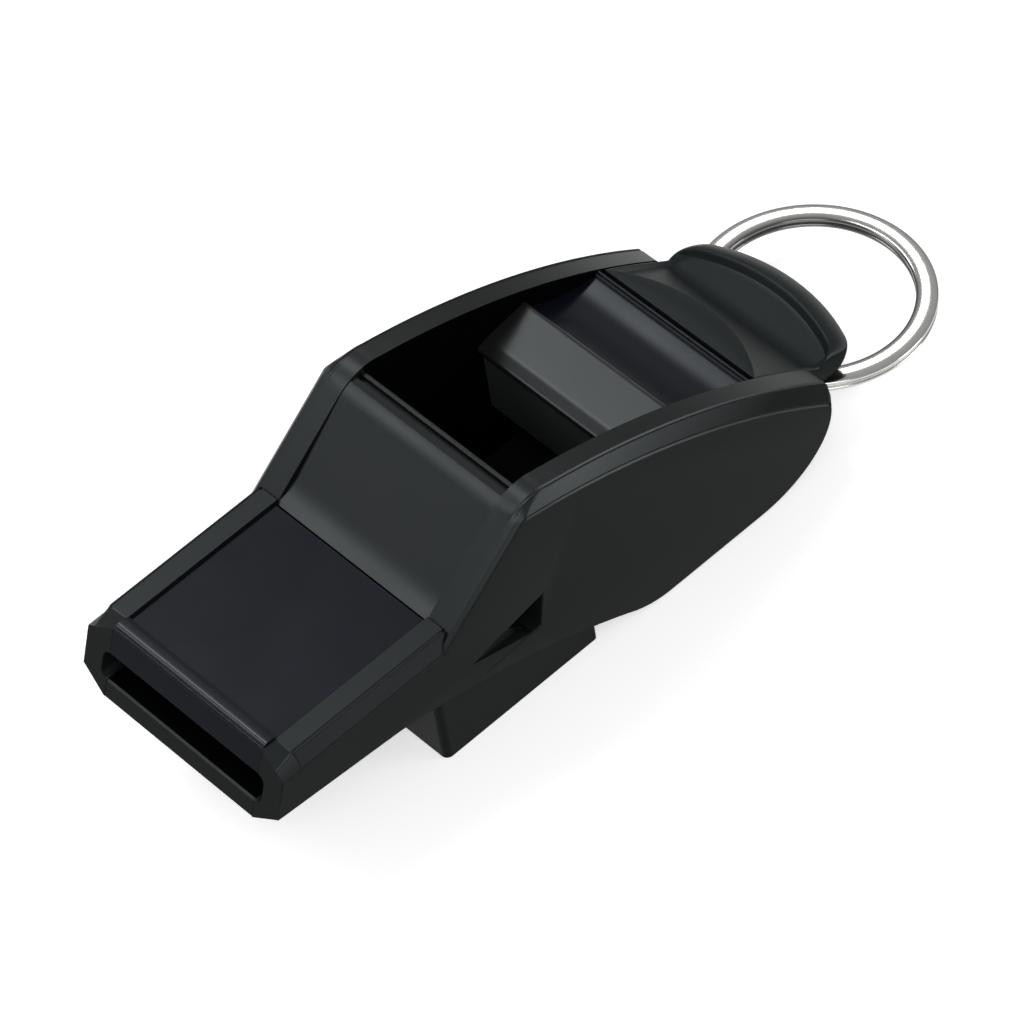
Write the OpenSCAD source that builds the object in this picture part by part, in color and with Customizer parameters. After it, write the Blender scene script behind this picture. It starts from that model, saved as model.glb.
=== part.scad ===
// Pealess sports whistle: two side shells over a middle row of windway and chamber mouldings,
// a finger fin below and a steel split ring held round a post in the tail.
// Millimetres, +X from the mouth to the ring, +Z up, standing on the fin and the belly.

/* [Body] */
// Width over both side shells
body_w = 21; // [20.5:0.1:22]
// Thickness of each side shell
shell_t = 2.5; // [2.3:0.05:2.8]
// Distance of the crown, where the ramp meets the roof line, behind the front of the fin
crown_x = 10.3; // [10:0.1:10.6]
// Radius of the roof line from the crown to the tail
roof_r = 68; // [64:1:74]
// Distance of the rear end of the side shells behind the front of the fin
tail_x = 39.1; // [39:0.1:39.6]
// Height of the rear top corner of the side shells
tail_h = 7.8; // [7.6:0.1:8]
// Width of the rounded band along the outer edges
edge_w = 0.75; // [0.6:0.05:0.9]
// Depth of that band at the crown
crown_band = 0.85; // [0.7:0.05:1]
// Depth of that band at the tail
tail_band = 1.35; // [1.2:0.05:1.5]
// Depth of that band along the mouthpiece
mouth_band = 1.65; // [1.4:0.05:1.8]
// Wall thickness of the middle mouldings
wall = 1.6; // [1.4:0.1:1.7]

/* [Mouthpiece] */
// Length of the mouthpiece from its top front edge to the foot of the ramp
mouth_l = 16.1; // [15.6:0.1:17]
// Thickness of the mouthpiece
mouth_t = 5.85; // [5.7:0.05:6]
// Height of the underside of the mouthpiece above the table
chin_h = 8.2; // [8:0.1:8.4]
// Length of the level underside behind the mouth
chin_l = 12; // [11:0.2:13]
// Rake of the mouth face from upright, in degrees
mouth_rake = 19.3; // [16:0.1:22]
// Drop of the mouth's top edge over each side shell
top_bevel = 1.22; // [1:0.02:1.4]
// Rise of the mouth's bottom edge over each side shell
chin_bevel = 1.4; // [1.2:0.05:1.6]
// Reach of the blowing slot's round ends into each side shell
slot_end = 0.65; // [0.5:0.05:0.8]
// Height of the blowing slot
slot_h = 2.3; // [2.1:0.1:2.4]
// Depth of the slot's round ends in the side shells
slot_l = 3.8; // [3:0.2:5]
// Thickness of the lip below the blowing slot
lower_lip = 1.45; // [1.3:0.05:1.6]
// Length of the rounded bar along the top of the mouth
bar_l = 1.25; // [1.1:0.05:1.5]
// Height of that bar above the mouth's top edge
bar_rise = 0.33; // [0.2:0.01:0.4]
// Length of the step up to the side strips behind the bar
step_l = 0.12; // [0.08:0.02:0.2]
// Depth of the roof panel below the side strips
panel_drop = 0.3; // [0.2:0.05:0.4]

/* [Ramp and window] */
// Rise of the ramp from the top of the mouthpiece to the crown
ramp_rise = 6.65; // [6.4:0.05:7]
// Slope of the ramp, in degrees
ramp_slope = 38.6; // [38:0.2:39.2]
// Slope of the ramp cover where it leaves the roof panel, in degrees
foot_slope = 14; // [8:1:20]
// Radius at the foot of the ramp
foot_r = 1.8; // [1.4:0.1:2.2]
// Radius at the crown
crown_r = 1.9; // [1.6:0.1:2]
// Depth of the ramp cover below the side shells along its seams
seam_d = 0.08; // [0.04:0.02:0.12]
// Distance of the window's front edge behind the crown
window_gap = 0.95; // [0.95:0.05:1.3]
// Distance of the window's rear edge in front of the side shells' rear end
window_end = 5.65; // [5.6:0.05:5.9]
// Height of the air slit under the ramp
slit_h = 1.3; // [1.2:0.1:1.5]
// Distance of the labium's nose behind the front of the fin
nose_x = 21.3; // [20.8:0.1:21.6]
// Drop of the labium's nose below the top of the mouthpiece
nose_drop = 0.6; // [0.5:0.05:0.7]
// Thickness of the labium at its nose
nose_t = 0.5; // [0.4:0.05:0.6]
// Distance of the labium's ridge behind the front of the fin
ridge_x = 26.2; // [25.8:0.1:26.6]
// Rise of the labium's ridge above the top of the mouthpiece
ridge_rise = 0.35; // [0.2:0.05:0.45]
// Bulge of the labium's top above the line from its nose to its ridge
labium_bulge = 0.45; // [0.3:0.05:0.6]
// Depth of the deck's hollow between the labium and the rear lip
deck_sag = 0.5; // [0.3:0.1:0.6]
// Length of the lip along the window's rear edge
lip_l = 0.8; // [0.6:0.1:1]
// Height of that lip above the deck
lip_h = 0.25; // [0.2:0.05:0.3]
// Height of the lower edge of the chamber partition
partition_h = 6.5; // [6:0.1:7]
// Thickness of the chamber partition
partition_t = 1.2; // [1:0.1:1.4]

/* [Side ports] */
// Distance of the port's upper rear corner behind the front of the fin
port_x = 10.15; // [9.9:0.05:10.4]
// Height of that corner
port_h = 10.75; // [10.5:0.05:11]
// Length of the port
port_l = 3.8; // [3.5:0.1:4]
// Height of the port along its rear edge
port_rise = 3.15; // [2.9:0.05:3.3]
// Length of the wedge recess in front of the port
recess_l = 3.3; // [3:0.1:3.5]
// Depth of the wedge recess at the port
recess_d = 1.1; // [0.9:0.1:1.4]

/* [Tail] */
// Radius of the tail rim in plan, to the middle of its roll
rim_r = 15.5; // [15.4:0.1:16]
// Distance of the rearmost point of the roll's middle line behind the side shells' end
rim_l = 5.1; // [4.9:0.1:5.3]
// Radius of the roll along the rim
roll_r = 1.2; // [1.1:0.05:1.25]
// Height of the middle of the roll
roll_h = 6.4; // [6.4:0.05:6.5]
// Depth of the finger saddle below the roof line
saddle_d = 0.5; // [0.3:0.05:0.6]
// Gap between the window's rear lip and the tail
tail_gap = 0.45; // [0.3:0.05:0.5]
// Depth in plan of the crescent land behind the window
land_l = 2.9; // [2.6:0.1:3.1]
// Slope of the crescent land, in degrees
land_slope = 14; // [12:0.5:16]
// Length of the upturned heel in front of the side shells' end
heel_l = 8.1; // [7:0.1:9]
// Height of the heel's upper end
heel_h = 5.9; // [5.6:0.1:6.2]

/* [Fin] */
// Length of the finger fin
fin_l = 15; // [14.6:0.1:15.2]
// Distance of the fin's sides inside the side shells' faces
fin_inset = 1; // [0.9:0.1:1.2]
// Radius of the upright front edges of the fin
fin_r = 1; // [0.6:0.1:1.4]
// Distance of the fin's rear end in front of the belly's corner
belly_gap = 4.6; // [4.2:0.1:5]
// Radius of the hollow curve under the body
under_r = 70; // [66:1:76]
// Radius of the belly's front corner
belly_r = 8; // [7:0.5:9]

/* [Ring] */
// Mean radius of the split ring
ring_r = 8.8; // [8.7:0.05:8.9]
// Radial width of the flat wire
wire_w = 1.3; // [1.2:0.05:1.35]
// Thickness of one turn of the flat wire
wire_t = 0.52; // [0.45:0.01:0.54]
// Height of the ring's middle above the table
ring_h = 3; // [2.9:0.05:3.1]
// Slope of the ring down to the rear, in degrees
ring_slope = 5; // [4:0.5:6]
// Turn of the wire's outer end from the middle line, in degrees
ring_end_turn = 27; // [20:1:34]
// Gap between the ring and the post that holds it
ring_gap = 0.35; // [0.3:0.05:0.45]
// Width of the post and of the tongue below it
post_w = 9.6; // [9:0.2:10]
// Clear height between the ring's front and the tongue
tongue_gap = 1.35; // [1.2:0.05:1.4]
// Thickness of the tongue
tongue_t = 1.45; // [1.3:0.05:1.5]

/* [Hidden] */

// One overrun serves all cuts
over = 1;
// Steps along a small round, a large round and the roof line
small_steps = 6;
large_steps = 12;
roof_steps = 20;
rod_fn = 32;
ring_fn = 96;

half_w = body_w / 2;
core = half_w - shell_t;
core_w = core * 2;
mouth_top = chin_h + mouth_t;
crown_h = mouth_top + ramp_rise;
nose_h = mouth_top - nose_drop;
ridge_h = mouth_top + ridge_rise;
window_end_x = tail_x - window_end;
rim_x = tail_x + rim_l;
heel_x = tail_x - heel_l;
slot_low = chin_h + lower_lip;
slot_top = slot_low + slot_h;

// A heading is an angle from +X towards +Z. This is the step of length 1 along it.
function unit(a) = [cos(a), sin(a)];
// Where the line through p with heading a meets the line through q with heading b
function meet(p, a, q, b) = p + unit(a) * cross(q - p, unit(b)) / cross(unit(a), unit(b));
// Point p moved by d to the right of the heading a
function inside(p, a, d) = p + d * [sin(a), -cos(a)];
// Round of radius r at the corner p, reached with heading a and left with heading b
function rounded(p, a, b, r, n) =
    let(
        turn = b - a,
        side = sign(turn),
        middle = p - r * tan(abs(turn) / 2) * unit(a) - side * r * [sin(a), -cos(a)]
    )
    [for (i = [0:n]) middle + side * r * [sin(a + turn * i / n), -cos(a + turn * i / n)]];
// Centre of the circle of radius r through p and q that lies to the right of p to q
function arc_centre(p, q, r) =
    let(d = norm(q - p), right = [q[1] - p[1], p[0] - q[0]] / d)
    (p + q) / 2 + sqrt(r * r - d * d / 4) * right;
function reversed(v) = [for (i = [len(v) - 1:-1:0]) v[i]];

// Roof line
crown = [crown_x, crown_h];
roof_c = arc_centre(crown, [tail_x, tail_h], roof_r);
function roof_tilt(x) = asin((x - roof_c[0]) / roof_r);
function roof_z(x) = roof_c[1] + roof_r * cos(roof_tilt(x));
crown_tilt = roof_tilt(crown_x);
window_x = crown_x + window_gap;
// Height of the ramp's plane at x, moved by d into the material
function ramp_z(x, d) = crown_h - d / cos(ramp_slope) + (x - crown_x) * tan(ramp_slope);
// Place where the ramp's plane, moved by d, reaches the height z
function ramp_x(z, d) = crown_x + (z - crown_h + d / cos(ramp_slope)) / tan(ramp_slope);

// Mouth face
mouth_x = ramp_x(mouth_top, 0) - mouth_l;
function face_x(z) = mouth_x - (mouth_top - z) * tan(mouth_rake);

// Underside: the hollow curve runs from the chin's end to the belly's corner
belly_x = fin_l + belly_gap;
chin_end_x = face_x(chin_h) + chin_l;
under_c = arc_centre([chin_end_x, chin_h], [belly_x, 0], under_r);
function under_tilt(x) = asin((x - under_c[0]) / under_r);
function under_z(x) = under_c[1] + under_r * cos(under_tilt(x));
belly_tilt = under_tilt(belly_x);
under_end_x = belly_x - belly_r * tan(belly_tilt / 2) * cos(belly_tilt);
// Points of the hollow curve from x0 to x1, moved by d into the material above
function under_points(x0, x1, d, n) =
    [for (i = [0:n]) let(a = under_tilt(x0 + (x1 - x0) * i / n))
        under_c + (under_r + d) * [sin(a), cos(a)]];
// Belly's corner, moved by d into the material above
function belly_round(d) = rounded([belly_x, d], -belly_tilt, 0, belly_r, small_steps);
// Height of the heel's curve at x
function heel_z(x) = heel_h * (1 - sqrt(1 - pow((x - heel_x) / heel_l, 2)));

// Upper outline of a side shell at the layer y, from the mouth's lower corner to the tail.
// The share b says how far the rounded band has drawn the edge in.
tail_corner_r = wall / 2;
under_band = edge_w / 2;
function shell_top(y, b) =
    let(
        t = (y - core) / shell_t,
        strip_z = mouth_top - mouth_band * b,
        bevel_z = mouth_top - top_bevel * t,
        low_z = chin_h + chin_bevel * t,
        bar_x = mouth_x + bar_l,
        ramp_p = inside(crown, ramp_slope, crown_band * b),
        roof_p = inside(crown, -crown_tilt, crown_band * b),
        foot = meet([0, strip_z], 0, ramp_p, ramp_slope),
        peak = meet(ramp_p, ramp_slope, roof_p, -crown_tilt),
        roof_x0 = crown_x + window_gap + edge_w,
        roof_x1 = tail_x - tail_corner_r * 2,
        end_a = -roof_tilt(tail_x),
        rear_x = tail_x - under_band * b,
        corner = meet(inside([tail_x, tail_h], end_a, tail_band * b), end_a, [rear_x, 0], -90)
    )
    concat(
        [[face_x(low_z), low_z], [face_x(bevel_z), bevel_z], [bar_x, bevel_z],
            [bar_x + step_l, strip_z]],
        rounded(foot, 0, ramp_slope, foot_r, small_steps),
        rounded(peak, ramp_slope, -crown_tilt, crown_r, small_steps),
        [for (i = [0:roof_steps])
            let(
                a = roof_tilt(roof_x0 + (roof_x1 - roof_x0) * i / roof_steps),
                d = (crown_band + (tail_band - crown_band) * i / roof_steps) * b
            )
            roof_c + (roof_r - d) * [sin(a), cos(a)]],
        rounded(corner, end_a, -90, tail_corner_r, small_steps)
    );

// Lower outline of a side shell, also from the mouth to the tail
function shell_low(b) =
    concat(
        under_points(chin_end_x, under_end_x, under_band * b, large_steps),
        belly_round(under_band * b),
        [for (i = [0:large_steps])
            let(a = 90 * i / large_steps)
            [heel_x + (heel_l - under_band * b) * sin(a),
                heel_h - (heel_h - under_band * b) * cos(a)]]
    );

// Layers of a side shell from its inner face out. Each has its share of the band's width
// and its share of the band's depth.
band_shares = [[0, 0], [0.2, 0.08], [0.45, 0.24], [0.7, 0.5], [0.88, 0.76], [1, 1]];
shell_layers = concat([[core, 0]], [for (s = band_shares) [half_w - edge_w * (1 - s[0]), s[1]]]);

// Faces that close the outline's ring of points between its upper and its lower part
function cap_faces(top_n, low_n) = [
    for (i = [0:top_n - 2])
        let(
            last = top_n + low_n - 1,
            j = floor(i * (low_n - 1) / (top_n - 1)),
            k = floor((i + 1) * (low_n - 1) / (top_n - 1))
        )
        each concat([[i, last - j, i + 1]], k > j ? [[i + 1, last - j, last - k]] : [])];

module place() translate([-origin_x, 0, 0]) children();

// Solid of an outline in X and Z, from y0 to y1
module across(points, y0, y1)
    translate([0, y1, 0]) rotate([90, 0, 0]) linear_extrude(height = y1 - y0) polygon(points);

module shell_solid() {
    tops = [for (l = shell_layers) shell_top(l[0], l[1])];
    lows = [for (l = shell_layers) shell_low(l[1])];
    n = len(tops[0]) + len(lows[0]);
    m = len(shell_layers);
    points = [for (k = [0:m - 1]) for (p = concat(tops[k], reversed(lows[k])))
        [p[0], shell_layers[k][0], p[1]]];
    sides = [for (k = [0:m - 2]) for (i = [0:n - 1])
        let(j = (i + 1) % n, a = k * n)
        each [[a + i, a + n + j, a + j], [a + i, a + n + i, a + n + j]]];
    inner = cap_faces(len(tops[0]), len(lows[0]));
    outer = [for (f = inner) [for (v = reversed(f)) (m - 1) * n + v]];
    polyhedron(points, concat([for (f = inner) f], outer, sides), convexity = 6);
}

// Corners of the side port and of its recess, as shares of the port's length and height
port_low_share = [0.17, 1];
port_toe_share = [0.37, 1];
port_front_share = [1, 0.2];
recess_tip_share = 0.45;
port_top = [port_x, port_h];
function port_corner(share) = [port_x - port_l * share[0], port_h - port_rise * share[1]];
port_low = port_corner(port_low_share);
port_toe = port_corner(port_toe_share);
port_front = port_corner(port_front_share);
recess_tip = [port_front[0] - recess_l, port_h - port_rise * recess_tip_share];

module port_cut() {
    rim = [recess_tip, port_front, port_toe];
    depth = [0, recess_d, recess_d];
    across([port_top, port_low, port_toe, port_front], core - over, half_w + over);
    polyhedron(
        concat([for (p = rim) [p[0], half_w + over, p[1]]],
            [for (i = [0:2]) [rim[i][0], half_w - depth[i], rim[i][1]]]),
        [[2, 1, 0], [3, 4, 5], [0, 1, 4, 3], [1, 2, 5, 4], [2, 0, 3, 5]]);
}

// The slot widens into the side shells with round ends
module slot_cut() {
    slot_w = core_w + slot_end * 2;
    translate([face_x(slot_low) - over, 0, 0]) rotate([90, 0, 90])
        linear_extrude(height = slot_l + over) {
            translate([-slot_w / 2, slot_low + slot_end]) square([slot_w, slot_h - slot_end * 2]);
            translate([-core, slot_low]) square([core_w, slot_h]);
            for (y = [-core, core]) for (z = [slot_low + slot_end, slot_top - slot_end])
                translate([y, z]) circle(slot_end, $fn = rod_fn);
        }
}

module side_shell() color([0.16, 0.17, 0.17]) difference() {
    shell_solid();
    port_cut();
    slot_cut();
}
module left_side_shell() place() side_shell();
module right_side_shell() place() mirror([0, 1, 0]) side_shell();

// Joints between the middle mouldings
panel_z = mouth_top - panel_drop;
crease_x = ramp_x(panel_z, 0);
wall_x = window_x - wall;
floor_d = wall + slit_h;
// The windway's floor ends where its sloping underside meets the belly's inner face
function floor_end(n) =
    n == 0 ? crease_x : ramp_x(under_z(floor_end(n - 1)) + wall, floor_d + wall);
floor_end_x = floor_end(large_steps);

module mouthpiece_roof() place() color([0.1, 0.11, 0.14]) across(concat(
    [[face_x(slot_top), slot_top], [mouth_x, mouth_top]],
    [for (i = [1:small_steps]) let(a = 90 * i / small_steps)
        [mouth_x + bar_l * (1 - cos(a)), mouth_top + bar_rise * sin(a)]],
    [[mouth_x + bar_l, panel_z], [crease_x, panel_z], [crease_x, slot_top]]
), -core, core);

module ramp_cover() place() color([0.3, 0.31, 0.3]) across(concat(
    [[crease_x, panel_z]],
    rounded(meet([crease_x, panel_z], foot_slope, inside(crown, ramp_slope, seam_d), ramp_slope),
        foot_slope, ramp_slope, foot_r, small_steps),
    rounded(crown, ramp_slope, -crown_tilt, crown_r, small_steps),
    [[window_x, roof_z(window_x)], [window_x, ramp_z(window_x, wall)]],
    [[ramp_x(slot_top, wall), slot_top], [crease_x, slot_top]]
), -core, core);

module windway_floor() place() color([0.12, 0.12, 0.13]) across(concat(
    [[face_x(chin_h), chin_h], [face_x(slot_low), slot_low], [ramp_x(slot_low, floor_d), slot_low]],
    [[wall_x, ramp_z(wall_x, floor_d)], [window_x, ramp_z(wall_x, floor_d)]],
    [[window_x, under_z(window_x) + wall], [wall_x, under_z(wall_x) + wall]],
    [[wall_x, ramp_z(wall_x, floor_d + wall)], [floor_end_x, under_z(floor_end_x) + wall]],
    reversed(under_points(chin_end_x, floor_end_x, 0, small_steps))
), -core, core);

// The labium's top is a shallow arch from the nose to the ridge
labium_low = nose_h - nose_t;
labium_l = ridge_x - nose_x;
deck_x = ridge_x + nose_t / 2;
module labium_wedge() place() color([0.42, 0.43, 0.43]) across(concat(
    [[nose_x, labium_low]],
    [for (i = [0:large_steps])
        let(s = i / large_steps)
        [nose_x + labium_l * s, nose_h + (ridge_h - nose_h) * s + labium_bulge * sin(180 * s)]],
    [[deck_x, ridge_h - nose_t / 2], [deck_x, labium_low]]
), -core, core);

partition_x = nose_x + nose_t;
module chamber_partition() place() color([0.2, 0.2, 0.21])
    across([[partition_x, partition_h], [partition_x, labium_low],
        [partition_x + partition_t, labium_low], [partition_x + partition_t, partition_h]],
        -core, core);

deck_front_z = ridge_h - nose_t - bar_rise;
lip_z = roof_z(window_end_x) - lip_h / 2;
deck_end_x = window_end_x - lip_l;
module rear_deck_panel() place() color([0.1, 0.11, 0.17]) across(concat(
    [for (i = [0:large_steps])
        let(s = i / large_steps)
        [deck_x + (deck_end_x - deck_x) * s,
            deck_front_z + (lip_z - lip_h - deck_front_z) * s - deck_sag * sin(180 * s)]],
    [[deck_end_x, lip_z], [window_end_x, lip_z]],
    [[window_end_x, lip_z - wall], [deck_x, labium_low - nose_t]]
), -core, core);

// The ring's channel lies between the belly's rear wall and the post. The share says how
// much of the wall's thickness the ring's front reaches forward of the side shells' end.
ring_reach_share = 0.6;
ring_x = tail_x - wall * ring_reach_share + ring_r * cos(ring_slope);
channel_x = ring_x - ring_r * cos(ring_slope) - wire_w;
hoop_r = ring_r - wire_w / 2 - ring_gap;
post_x = channel_x + wire_w + ring_gap + ring_r / 2 - wire_t;
tongue_z = ring_h + ring_r * sin(ring_slope) - wire_t - tongue_gap;
back_slope = 35;
back_z = roof_z(channel_x) - saddle_d - wall;
inner_z = back_z + wall * tan(back_slope);

// Plan of the tongue, with a round rear end
module tongue_plan() {
    front_x = heel_x + wall;
    middle_x = post_x - post_w / 2;
    translate([front_x, -post_w / 2]) square([middle_x - front_x, post_w]);
    translate([middle_x, 0]) circle(post_w / 2, $fn = ring_fn);
}

module belly_shell() place() color([0.17, 0.18, 0.18]) {
    inner_x = channel_x - wall;
    across(concat(
        under_points(floor_end_x, under_end_x, 0, large_steps),
        belly_round(0),
        [for (i = [0:small_steps]) let(x = heel_x + (channel_x - heel_x) * i / small_steps)
            [x, heel_z(x)]],
        [[channel_x, back_z], [inner_x, inner_z]],
        [for (i = [small_steps:-1:0]) let(x = heel_x + (inner_x - heel_x) * i / small_steps)
            [x, heel_z(x) + wall]],
        reversed([for (p = belly_round(0)) p + [0, wall]]),
        reversed([for (p = under_points(floor_end_x, under_end_x, 0, large_steps)) p + [0, wall]])
    ), -core, core);
    translate([0, 0, tongue_z - tongue_t]) linear_extrude(height = tongue_t) tongue_plan();
}

// Height of the shelf under the saddle, and of the cap's underside, as shares of the roll
shelf_share = 0.45;
cap_low_share = 0.65;
cap_low = roll_h - roll_r * cap_low_share;

module tail_cap() place() color([0.27, 0.29, 0.28]) {
    cap_x = window_end_x + tail_gap;
    land_x = cap_x + land_l;
    rim_c = rim_x - rim_r;
    shelf_z = roll_h + roll_r * shelf_share;
    // Saddle
    intersection() {
        across(concat(
            [for (i = [0:large_steps]) let(x = cap_x + (rim_x - cap_x) * i / large_steps)
                [x, max(roof_z(x) - saddle_d, shelf_z)]],
            [[rim_x, cap_low], [channel_x + wall, cap_low], [channel_x, back_z]],
            [[channel_x - wall, inner_z], [cap_x, roof_z(cap_x) - saddle_d - wall]]
        ), -core, core);
        union() {
            translate([0, -core, 0]) cube([tail_x, core_w, crown_h]);
            translate([rim_c, 0, 0]) cylinder(h = crown_h, r = rim_r, $fn = ring_fn);
        }
    }
    // Crescent land
    land_r = (core * core + land_l * land_l) / (2 * land_l);
    land_z = roof_z(cap_x);
    intersection() {
        across([[cap_x, land_z - saddle_d - wall / 2], [cap_x, land_z],
            [land_x, land_z - land_l * tan(land_slope)],
            [land_x, roof_z(land_x) - saddle_d - wall / 2]], -core, core);
        translate([land_x - land_r, 0, 0]) cylinder(h = crown_h, r = land_r, $fn = ring_fn * 2);
    }
    // Roll along the rim
    roll_a = asin((core - roll_r / 2) / rim_r);
    translate([rim_c, 0, roll_h]) {
        rotate([0, 0, -roll_a]) rotate_extrude(angle = roll_a * 2, $fn = ring_fn)
            translate([rim_r, 0]) circle(roll_r, $fn = rod_fn);
        for (s = [-1, 1]) rotate([0, 0, s * roll_a]) translate([rim_r, 0, 0])
            sphere(roll_r, $fn = rod_fn);
    }
    // Post that holds the ring
    translate([0, 0, tongue_z]) linear_extrude(height = cap_low - tongue_z + wall / 2)
        intersection() {
            tongue_plan();
            translate([ring_x, 0]) circle(hoop_r, $fn = ring_fn);
        }
}

module finger_fin() place() color([0.2, 0.21, 0.21]) intersection() {
    side = half_w - fin_inset;
    across(concat([[0, 0]], under_points(0, fin_l, 0, large_steps), [[fin_l, 0]]), -side, side);
    linear_extrude(height = crown_h) {
        translate([fin_r, -side]) square([fin_l + over, side * 2]);
        translate([0, fin_r - side]) square([fin_r * 2, (side - fin_r) * 2]);
        for (y = [fin_r - side, side - fin_r]) translate([fin_r, y]) circle(fin_r, $fn = rod_fn);
    }
}

// Two flat turns that lie on each other, with a groove between them and the wire's end
// cut in the upper turn
groove_share = 0.2;
module split_ring() place() color([0.8, 0.8, 0.82]) translate([ring_x, 0, ring_h])
    rotate([0, ring_slope, 0]) difference() {
        groove = wire_t * groove_share;
        w = wire_w / 2;
        rotate_extrude($fn = ring_fn) translate([ring_r, 0]) polygon([
            [-w + groove, -wire_t], [w - groove, -wire_t], [w, groove - wire_t], [w, -groove],
            [w - groove, 0], [w, groove], [w, wire_t - groove], [w - groove, wire_t],
            [-w + groove, wire_t], [-w, wire_t - groove], [-w, groove], [-w + groove, 0],
            [-w, -groove], [-w, groove - wire_t]]);
        rotate([0, 0, ring_end_turn]) translate([ring_r - wire_w, 0, 0])
            cube([wire_w * 2, wire_t / 2, wire_t + over]);
    }

// Middle of the whole length, which is the origin
ring_end_x = ring_x + (ring_r + wire_w / 2) * cos(ring_slope) + wire_t * sin(ring_slope);
origin_x = (face_x(chin_h) + ring_end_x) / 2;

left_side_shell();
right_side_shell();
mouthpiece_roof();
windway_floor();
ramp_cover();
labium_wedge();
chamber_partition();
rear_deck_panel();
belly_shell();
tail_cap();
finger_fin();
split_ring();
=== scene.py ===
"""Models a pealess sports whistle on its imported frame, and lights it for a picture."""

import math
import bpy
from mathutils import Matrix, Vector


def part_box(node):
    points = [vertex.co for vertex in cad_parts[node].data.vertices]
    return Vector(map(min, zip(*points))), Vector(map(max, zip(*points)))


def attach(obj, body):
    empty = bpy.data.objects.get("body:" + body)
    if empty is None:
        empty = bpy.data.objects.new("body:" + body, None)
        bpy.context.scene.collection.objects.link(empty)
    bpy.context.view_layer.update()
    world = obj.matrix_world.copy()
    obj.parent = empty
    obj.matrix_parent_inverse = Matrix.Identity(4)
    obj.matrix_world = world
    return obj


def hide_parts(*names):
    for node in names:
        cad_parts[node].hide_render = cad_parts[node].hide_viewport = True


bl_info = {
    "name": "Sports whistle",
    "version": (1, 0, 0),
    "blender": (4, 5, 0),
    "location": "3D View > Sidebar > Whistle",
    "description": "Models the mouldings and the split ring of a pealess sports whistle",
    "category": "Object",
}

import types

import bpy
from mathutils import Matrix, Vector

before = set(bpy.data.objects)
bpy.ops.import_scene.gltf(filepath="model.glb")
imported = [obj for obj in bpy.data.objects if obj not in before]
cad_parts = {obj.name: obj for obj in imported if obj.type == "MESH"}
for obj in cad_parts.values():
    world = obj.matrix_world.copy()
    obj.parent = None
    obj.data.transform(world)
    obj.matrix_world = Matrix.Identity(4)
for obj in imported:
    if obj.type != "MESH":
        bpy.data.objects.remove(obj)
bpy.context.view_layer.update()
SHELL_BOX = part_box("left_side_shell")
FIN_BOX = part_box("finger_fin")
# Place of the fin's front, from which the lines measure X
FRONT_X = FIN_BOX[0].x

# A millimetre in metres
MM = 0.001
# Lengths in millimetres: one that counts as none, one that keeps the points of an outline
# apart, one by which the heel falls at least from point to point, and one that reaches past
# any face
TINY = 0.001
APART = TINY * 20
FALL = TINY * 5
OVER = 1
# Steps along a small round, a large round and the roof line
SMALL_STEPS = 8
LARGE_STEPS = 20
ROOF_STEPS = 36

# Layers of a side shell from its inner to its outer face: the distance from the outer face
# as a share of the band's width, the shares of the groove and of the upper band, how far it
# lies below the band, and the share of the lower band
EDGE_LAYERS = (
    (None, 0, 0, 0, 0), (1.53, 0, 0, 0.03, 0), (1.38, 1, 0, 0.03, 0), (1.2, 1, 0, 0.03, 0),
    (1, 0, 0.02, 0.03, 0), (0.5, 0, 0.51, 0.02, 0.2), (0.02, 0, 1, 0, 0.98),
    (0.16, 0, 1, 0.1, 0.98), (0.18, 0, 1, 0.26, 0.98), (0, 0, 1, 0.38, 1))
# Heights in millimetres between the upper and the lower lines of a shell, and where the
# second one starts
MOUTH_MIDDLE = 11
TAIL_MIDDLE = 5.2
TAIL_START = 30
# Corners of the side port as shares of its length and height, and the same for the height of
# the recess's tip
PORT_CORNERS = ((0.17, 1), (0.37, 1), (1, 0.2))
RECESS_TIP = 0.45
# Share of a full round that a bevel can have
ALMOST = 0.99
# Where the roof line starts behind the crown, as a share of the crown's radius
CROWN_SHARE = 0.56
# How soon the lip bar rises to its height, where 1 is an even slope
BAR_POWER = 10
# Share of the labium's length in front of its bend
NOSE_SHARE = 0.2

# Layers from the cap's middle to the start of its rounded corner, the share of the half width
# up to there and the share of a right angle at which the corner starts
CAP_STEPS = 7
CAP_SHARE = 0.83
CAP_START = 0.27
# How many of its widths from the cap's side the saddle's border starts, and is full
BORDER_START = 2
BORDER_FULL = 0.7
# The saddle rises to the crest over one of so many parts of the crest's own distance from
# the rim's outer edge
CREST_PARTS = 3
# How much closer the cap's points lie towards the crest
CREST_POWER = 2.2
# How straight the rim falls from its crest, where 1 is round and 2 is flat
ROLL_POWER = 1.45
# Turn of the rim's section from its crest to its lower side
ROLL_TURN = math.radians(130)

# Radius of the fin's front edges in millimetres
FIN_ROUND = 0.6
# Width of the roof's, the deck's and the fin's softened edges, as shares of the others'
ROOF_EDGE = 0.6
DECK_EDGE = 0.3
FIN_EDGE = 1.5
# Corners of the tongue's round end, and of the round that fits inside the ring
TONGUE_CORNERS = 96
HOOP_CORNERS = 256
# Share of the wall's thickness that the ring's middle line reaches forward of the tail
RING_REACH = 0.506
# Slope of the upper end of the wall in front of the ring's channel
BACK_SLOPE = math.radians(35)
# Steps of one turn of the ring's wire, and of its passage to the other layer
RING_STEPS = 160
CROSS_STEPS = 12
# The wire's height as a share of a layer's, the round of its section as a share of the sides,
# and the softened edge of its ends as a share of a layer's height
WIRE_FILL = 0.94
WIRE_ROUND = 0.4
WIRE_EDGE = 0.08

WHITE = (1, 1, 1, 1)
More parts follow.
